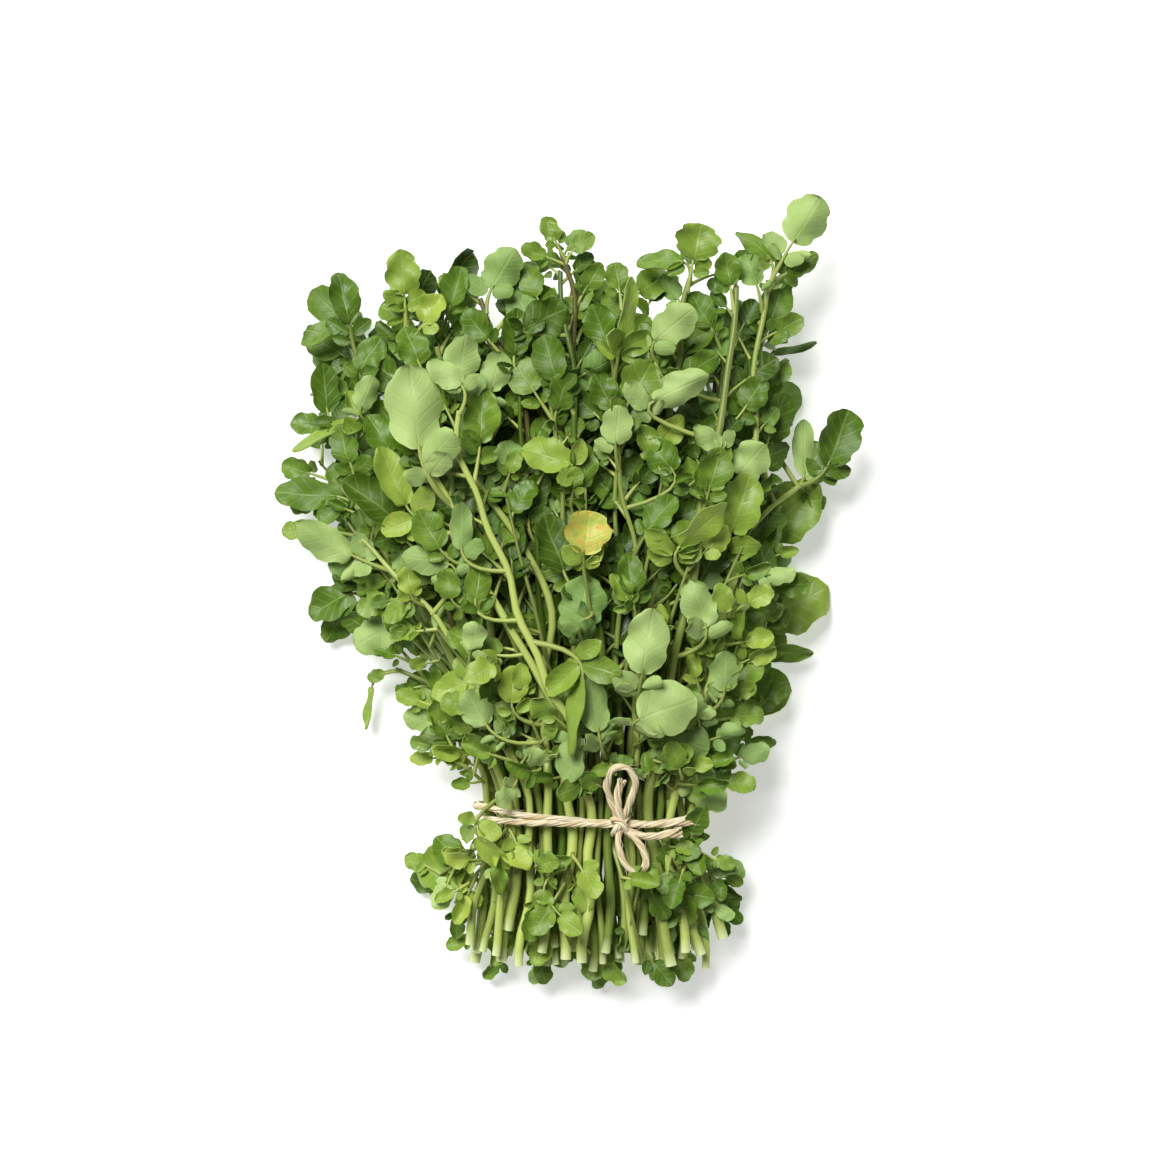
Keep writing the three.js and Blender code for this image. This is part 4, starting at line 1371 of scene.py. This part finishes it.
    def _knot_curves(self) -> list[Curve]:
        """The two short wraps that cross over each other at the knot.

        Returns:
            Their middle lines.
        """
        x, y, z = self.knot
        across = [(x - 2.4, y + 1.2, z - 0.4), (x - 1.6, y + 1.6, z + 2.2), (x + 0.6, y + 0.6, z + 3.2),
                  (x + 2.0, y - 1.6, z + 2.2), (x + 2.4, y - 2.6, z - 0.4)]
        over = [(x + 2.2, y + 2.2, z - 0.4), (x + 1.4, y + 1.8, z + 1.9), (x - 0.2, y - 0.2, z + 2.6),
                (x - 1.4, y - 1.8, z + 1.8), (x - 2.0, y - 2.6, z - 0.4)]
        return [Curve(np.array(points)) for points in (across, over)]


# ---- Finishes ------------------------------------------------------------------------------------


def linear(colour: str) -> tuple[float, float, float, float]:
    """Turns an sRGB hex colour linear.

    Args:
        colour: the colour, such as "#6d9638".

    Returns:
        Red, green, blue and an alpha of 1.
    """
    levels = [int(colour[i : i + 2], 16) / 255 for i in (1, 3, 5)]
    red, green, blue = (c / 12.92 if c <= 0.04045 else ((c + 0.055) / 1.055) ** 2.4 for c in levels)
    return (red, green, blue, 1.0)


def add_node(
    tree: bpy.types.NodeTree, kind: str, links: dict | None = None, **settings: object
) -> bpy.types.Node:
    """Adds a node to a tree.

    Args:
        tree: the material's node tree.
        kind: the node's type name.
        links: for each input, by name or number, an output to link or a value to set.
        settings: the node's own properties.

    Returns:
        The new node.
    """
    node = tree.nodes.new(kind)
    for name, value in settings.items():
        setattr(node, name, value)
    for key, value in (links or {}).items():
        if isinstance(value, bpy.types.NodeSocket):
            tree.links.new(value, node.inputs[key])
        else:
            node.inputs[key].default_value = value
    return node


def ramp(
    tree: bpy.types.NodeTree, factor: bpy.types.NodeSocket, stops: tuple[tuple[float, str], ...]
) -> bpy.types.NodeSocket:
    """A colour ramp.

    Args:
        tree: the material's node tree.
        factor: what runs along the ramp.
        stops: each stop's place, from 0 to 1, and its hex colour.

    Returns:
        The colour output.
    """
    node = add_node(tree, "ShaderNodeValToRGB", {"Fac": factor})
    elements = node.color_ramp.elements
    while len(elements) < len(stops):
        elements.new(0.5)
    for element, (place, colour) in zip(elements, stops):
        element.position = place
        element.color = linear(colour)
    return node.outputs["Color"]


def blend(
    tree: bpy.types.NodeTree, share: bpy.types.NodeSocket | float, first: bpy.types.NodeSocket,
    second: bpy.types.NodeSocket | tuple,
) -> bpy.types.NodeSocket:
    """Mixes two colours.

    Args:
        tree: the material's node tree.
        share: how much of the second colour shows, from 0 to 1.
        first: the first colour.
        second: the second colour.

    Returns:
        The colour output.
    """
    node = add_node(tree, "ShaderNodeMix", {0: share, 6: first, 7: second}, data_type="RGBA")
    return node.outputs[2]


def math_node(
    tree: bpy.types.NodeTree, operation: str, first: object, second: object = 0.0
) -> bpy.types.NodeSocket:
    """A sum on two values.

    Args:
        tree: the material's node tree.
        operation: the sum's name.
        first: an output to link or a number.
        second: the same.

    Returns:
        The value output.
    """
    node = add_node(tree, "ShaderNodeMath", {0: first, 1: second}, operation=operation)
    return node.outputs[0]


def attribute(tree: bpy.types.NodeTree, name: str) -> bpy.types.NodeSocket:
    """A mark's value on the surface."""
    return add_node(tree, "ShaderNodeAttribute", attribute_name=name).outputs["Fac"]


def new_material(name: str) -> tuple[bpy.types.Material, bpy.types.NodeTree, bpy.types.Node]:
    """Starts a material.

    Args:
        name: its name.

    Returns:
        The material, its node tree and its surface shader.
    """
    material = bpy.data.materials.new(name)
    material.use_nodes = True
    tree = material.node_tree
    return material, tree, tree.nodes["Principled BSDF"]


@dataclass(frozen=True)
class CressLeaf:
    """Living watercress leaf: a waxy smooth blade, matt below, paler along its veins.

    Young leaves are yellow-green and old ones dark. The underside is pale grey-green because the
    loose tissue there scatters light.
    """

    dark: str = "#2f480d"
    mid: str = "#5f8120"
    light: str = "#92ad42"
    young: str = "#a9bd4c"
    under_dark: str = "#66903a"
    under_light: str = "#b1c97a"
    vein: str = "#b4c97a"
    yellowed: str = "#d8cf62"
    spot: str = "#d8a548"
    mottle_mm: float = 3.0

    def material(self) -> bpy.types.Material:
        """The leaf's material, from its marks and surface coordinates.

        Returns:
            The material.
        """
        material, tree, shader = new_material("living_cress_leaf")
        tone, under, vary = (attribute(tree, name) for name in ("tone", "under", "vary"))
        place = add_node(tree, "ShaderNodeTexCoord").outputs["Object"]
        mottle = add_node(tree, "ShaderNodeTexNoise", {
            "Vector": place, "Scale": 1000 / self.mottle_mm, "Detail": 4.0, "Roughness": 0.6})
        shade = math_node(tree, "ADD", tone, math_node(
            tree, "MULTIPLY", math_node(tree, "SUBTRACT", mottle.outputs["Fac"], 0.5), 0.42))
        upper = ramp(tree, shade, (
            (0.0, self.dark), (0.42, self.mid), (0.8, self.light), (1.0, self.young)))
        lower = ramp(tree, shade, ((0.1, self.under_dark), (0.9, self.under_light)))
        colour = blend(tree, under, upper, lower)
        veins = self._veins(tree)
        showing = math_node(tree, "MULTIPLY", veins, math_node(tree, "ADD", math_node(
            tree, "MULTIPLY", under, 0.14), 0.26))
        colour = blend(tree, showing, colour, linear(self.vein))
        colour = self._yellowing(tree, colour, tone, mottle.outputs["Fac"])
        tree.links.new(colour, shader.inputs["Base Color"])
        rough = math_node(tree, "ADD", math_node(tree, "MULTIPLY", under, 0.16), math_node(
            tree, "ADD", math_node(tree, "MULTIPLY", vary, 0.12), 0.36))
        tree.links.new(rough, shader.inputs["Roughness"])
        shader.inputs["Subsurface Weight"].default_value = 0.22
        shader.inputs["Subsurface Radius"].default_value = (0.5, 0.9, 0.15)
        shader.inputs["Subsurface Scale"].default_value = 0.6 * MM
        shader.inputs["IOR"].default_value = 1.42
        relief = math_node(
            tree, "SUBTRACT", mottle.outputs["Fac"], math_node(tree, "MULTIPLY", veins, 0.8))
        bump = add_node(tree, "ShaderNodeBump", {
            "Strength": 0.45, "Distance": 0.25 * MM, "Height": relief})
        tree.links.new(bump.outputs["Normal"], shader.inputs["Normal"])
        return material

    def _veins(self, tree: bpy.types.NodeTree) -> bpy.types.NodeSocket:
        """A midrib along u and side veins that leave it slanting towards the tip.

        Args:
            tree: the material's node tree.

        Returns:
            The strength of the vein, from 0 to 1.
        """
        surface = add_node(tree, "ShaderNodeUVMap", uv_map="surface").outputs["UV"]
        split = add_node(tree, "ShaderNodeSeparateXYZ", {"Vector": surface})
        along, across = split.outputs["X"], split.outputs["Y"]
        off = math_node(tree, "MULTIPLY", math_node(
            tree, "ABSOLUTE", math_node(tree, "SUBTRACT", across, 0.5)), 2.0)
        midrib = add_node(tree, "ShaderNodeMapRange", {
            "Value": off, "From Min": 0.02, "From Max": 0.09, "To Min": 1.0, "To Max": 0.0})
        slant = math_node(tree, "SUBTRACT", math_node(tree, "MULTIPLY", along, 5.0),
                          math_node(tree, "MULTIPLY", off, 1.6))
        saw = math_node(tree, "ABSOLUTE", math_node(
            tree, "SUBTRACT", math_node(tree, "FRACT", math_node(tree, "ADD", slant, 4.0)), 0.5))
        side = add_node(tree, "ShaderNodeMapRange", {
            "Value": saw, "From Min": 0.02, "From Max": 0.13, "To Min": 0.55, "To Max": 0.0})
        return math_node(tree, "MAXIMUM", midrib.outputs["Result"], side.outputs["Result"])

    def _yellowing(
        self, tree: bpy.types.NodeTree, colour: bpy.types.NodeSocket, tone: bpy.types.NodeSocket,
        mottle: bpy.types.NodeSocket,
    ) -> bpy.types.NodeSocket:
        """Turns leaflets whose tone is over 1.5 yellow, with brown-orange spots.

        Args:
            tree: the material's node tree.
            colour: the colour of a green leaflet.
            tone: the leaflet's tone.
            mottle: a fine noise.

        Returns:
            The colour output.
        """
        old = math_node(tree, "GREATER_THAN", tone, 1.5)
        ageing = ramp(tree, mottle, ((0.54, self.yellowed), (0.66, self.spot)))
        patches = add_node(tree, "ShaderNodeMapRange", {
            "Value": mottle, "From Min": 0.40, "From Max": 0.58, "To Min": 0.12, "To Max": 0.95})
        return blend(tree, math_node(tree, "MULTIPLY", old, patches.outputs["Result"]), colour, ageing)


@dataclass(frozen=True)
class CressStem:
    """Watercress stem: crisp, smooth and waxy, pale green, with fine streaks along it.

    Some stems blush purple-brown towards the tip, and the fresh cut is pale and wet.
    """

    deep: str = "#506c1d"
    pale: str = "#cddc78"
    blush: str = "#6d5a38"
    cut: str = "#e0ebac"
    streak_mm: float = 0.5

    def material(self) -> bpy.types.Material:
        """The stem's material.

        Returns:
            The material.
        """
        material, tree, shader = new_material("waxy_cress_stem")
        tone, cut, blush = (attribute(tree, name) for name in ("tone", "cut", "blush"))
        surface = add_node(tree, "ShaderNodeUVMap", uv_map="surface").outputs["UV"]
        stretched = add_node(tree, "ShaderNodeMapping", {
            "Vector": surface, "Scale": (0.6, 10 / self.streak_mm, 1.0)})
        streaks = add_node(tree, "ShaderNodeTexNoise", {
            "Vector": stretched.outputs["Vector"], "Scale": 1.4, "Detail": 3.0})
        shade = math_node(tree, "ADD", tone, math_node(
            tree, "MULTIPLY", math_node(tree, "SUBTRACT", streaks.outputs["Fac"], 0.5), 0.7))
        colour = ramp(tree, shade, ((0.0, self.deep), (1.0, self.pale)))
        colour = blend(tree, math_node(tree, "MULTIPLY", blush, 0.75), colour, linear(self.blush))
        colour = blend(tree, cut, colour, linear(self.cut))
        tree.links.new(colour, shader.inputs["Base Color"])
        shader.inputs["Roughness"].default_value = 0.34
        shader.inputs["IOR"].default_value = 1.42
        shader.inputs["Subsurface Weight"].default_value = 0.15
        shader.inputs["Subsurface Radius"].default_value = (0.6, 1.0, 0.3)
        shader.inputs["Subsurface Scale"].default_value = 0.8 * MM
        bump = add_node(tree, "ShaderNodeBump", {
            "Strength": 0.25, "Distance": 0.12 * MM, "Height": streaks.outputs["Fac"]})
        tree.links.new(bump.outputs["Normal"], shader.inputs["Normal"])
        return material


@dataclass(frozen=True)
class JuteTwine:
    """Natural jute: coarse bast fibres, loosely wound, straw-coloured, quite matt."""

    light: str = "#f8edcc"
    dark: str = "#ccb07a"
    fibre_mm: float = 0.25

    def material(self) -> bpy.types.Material:
        """The twine's material.

        Returns:
            The material.
        """
        material, tree, shader = new_material("natural_jute_twine")
        tone = attribute(tree, "tone")
        surface = add_node(tree, "ShaderNodeUVMap", uv_map="surface").outputs["UV"]
        stretched = add_node(tree, "ShaderNodeMapping", {
            "Vector": surface, "Scale": (1.5, 2.6 / self.fibre_mm, 1.0)})
        fibres = add_node(tree, "ShaderNodeTexNoise", {
            "Vector": stretched.outputs["Vector"], "Scale": 2.0, "Detail": 4.0})
        shade = math_node(tree, "ADD", math_node(tree, "MULTIPLY", tone, 0.5), math_node(
            tree, "MULTIPLY", fibres.outputs["Fac"], 0.6))
        colour = ramp(tree, shade, ((0.15, self.dark), (0.75, self.light)))
        tree.links.new(colour, shader.inputs["Base Color"])
        shader.inputs["Roughness"].default_value = 0.85
        shader.inputs["Specular IOR Level"].default_value = 0.25
        bump = add_node(tree, "ShaderNodeBump", {
            "Strength": 0.6, "Distance": 0.2 * MM, "Height": fibres.outputs["Fac"]})
        tree.links.new(bump.outputs["Normal"], shader.inputs["Normal"])
        return material


# ---- The studio ----------------------------------------------------------------------------------


@dataclass
class Studio:
    """A white table, soft light from the top left and a camera straight above."""

    frame_width: float = 351.0
    centre: tuple[float, float] = (-1.5, 70.5)
    middle_height: float = 25.0
    camera_height: float = 1500.0
    table_half: float = 3000.0
    table_glow: float = 0.42
    world_strength: float = 0.16
    sun_strength: float = 3.6
    sun_spread: float = 32.0
    sun_turn: tuple[float, float, float] = (-30.0, -22.0, 0.0)
    sensor: float = 36.0

    def build(self) -> None:
        """Makes the table, the lights and the camera."""
        self._table()
        self._lights()
        self._camera()

    def _table(self) -> None:
        """A plain white table top, its upper face at z = 0."""
        material, _, shader = new_material("matt_white_table")
        shader.inputs["Base Color"].default_value = linear("#fbfbfb")
        shader.inputs["Roughness"].default_value = 0.9
        shader.inputs["Emission Color"].default_value = (1, 1, 1, 1)
        shader.inputs["Emission Strength"].default_value = self.table_glow
        mesh = bpy.data.meshes.new("table_top")
        half = self.table_half * MM
        corners = [(-half, -half, 0), (half, -half, 0), (half, half, 0), (-half, half, 0)]
        mesh.from_pydata(corners, [], [(0, 1, 2, 3)])
        mesh.materials.append(material)
        table = bpy.data.objects.new("table_top", mesh)
        bpy.context.scene.collection.objects.link(table)

    def _lights(self) -> None:
        """A white world and one soft sun from the top left."""
        scene = bpy.context.scene
        world = bpy.data.worlds.new("white_studio")
        world.use_nodes = True
        background = world.node_tree.nodes["Background"]
        background.inputs["Color"].default_value = (1, 1, 1, 1)
        background.inputs["Strength"].default_value = self.world_strength
        scene.world = world
        scene.view_settings.view_transform = "Standard"
        sun = bpy.data.lights.new("soft_sun", "SUN")
        sun.energy = self.sun_strength
        sun.angle = math.radians(self.sun_spread)
        lamp = bpy.data.objects.new("soft_sun", sun)
        lamp.rotation_euler = [math.radians(a) for a in self.sun_turn]
        scene.collection.objects.link(lamp)

    def _camera(self) -> None:
        """A long lens straight above the bunch, so that high leaves hardly spread."""
        data = bpy.data.cameras.new("overhead")
        data.sensor_width = self.sensor
        data.lens = self.sensor * (self.camera_height - self.middle_height) / self.frame_width
        data.clip_end = 10
        camera = bpy.data.objects.new("overhead", data)
        camera.location = (self.centre[0] * MM, self.centre[1] * MM, self.camera_height * MM)
        bpy.context.scene.collection.objects.link(camera)
        bpy.context.scene.camera = camera


def main() -> None:
    """Builds the bunch, its tie and the studio."""
    logging.basicConfig(level=logging.INFO, format="%(message)s")
    Studio().build()
    stem_finish, leaf_finish = CressStem().material(), CressLeaf().material()
    Bunch().build(stem_finish, leaf_finish)
    LooseSprigs().build(stem_finish, leaf_finish)
    Tie().build(JuteTwine().material())


if __name__ == "__main__":
    main()
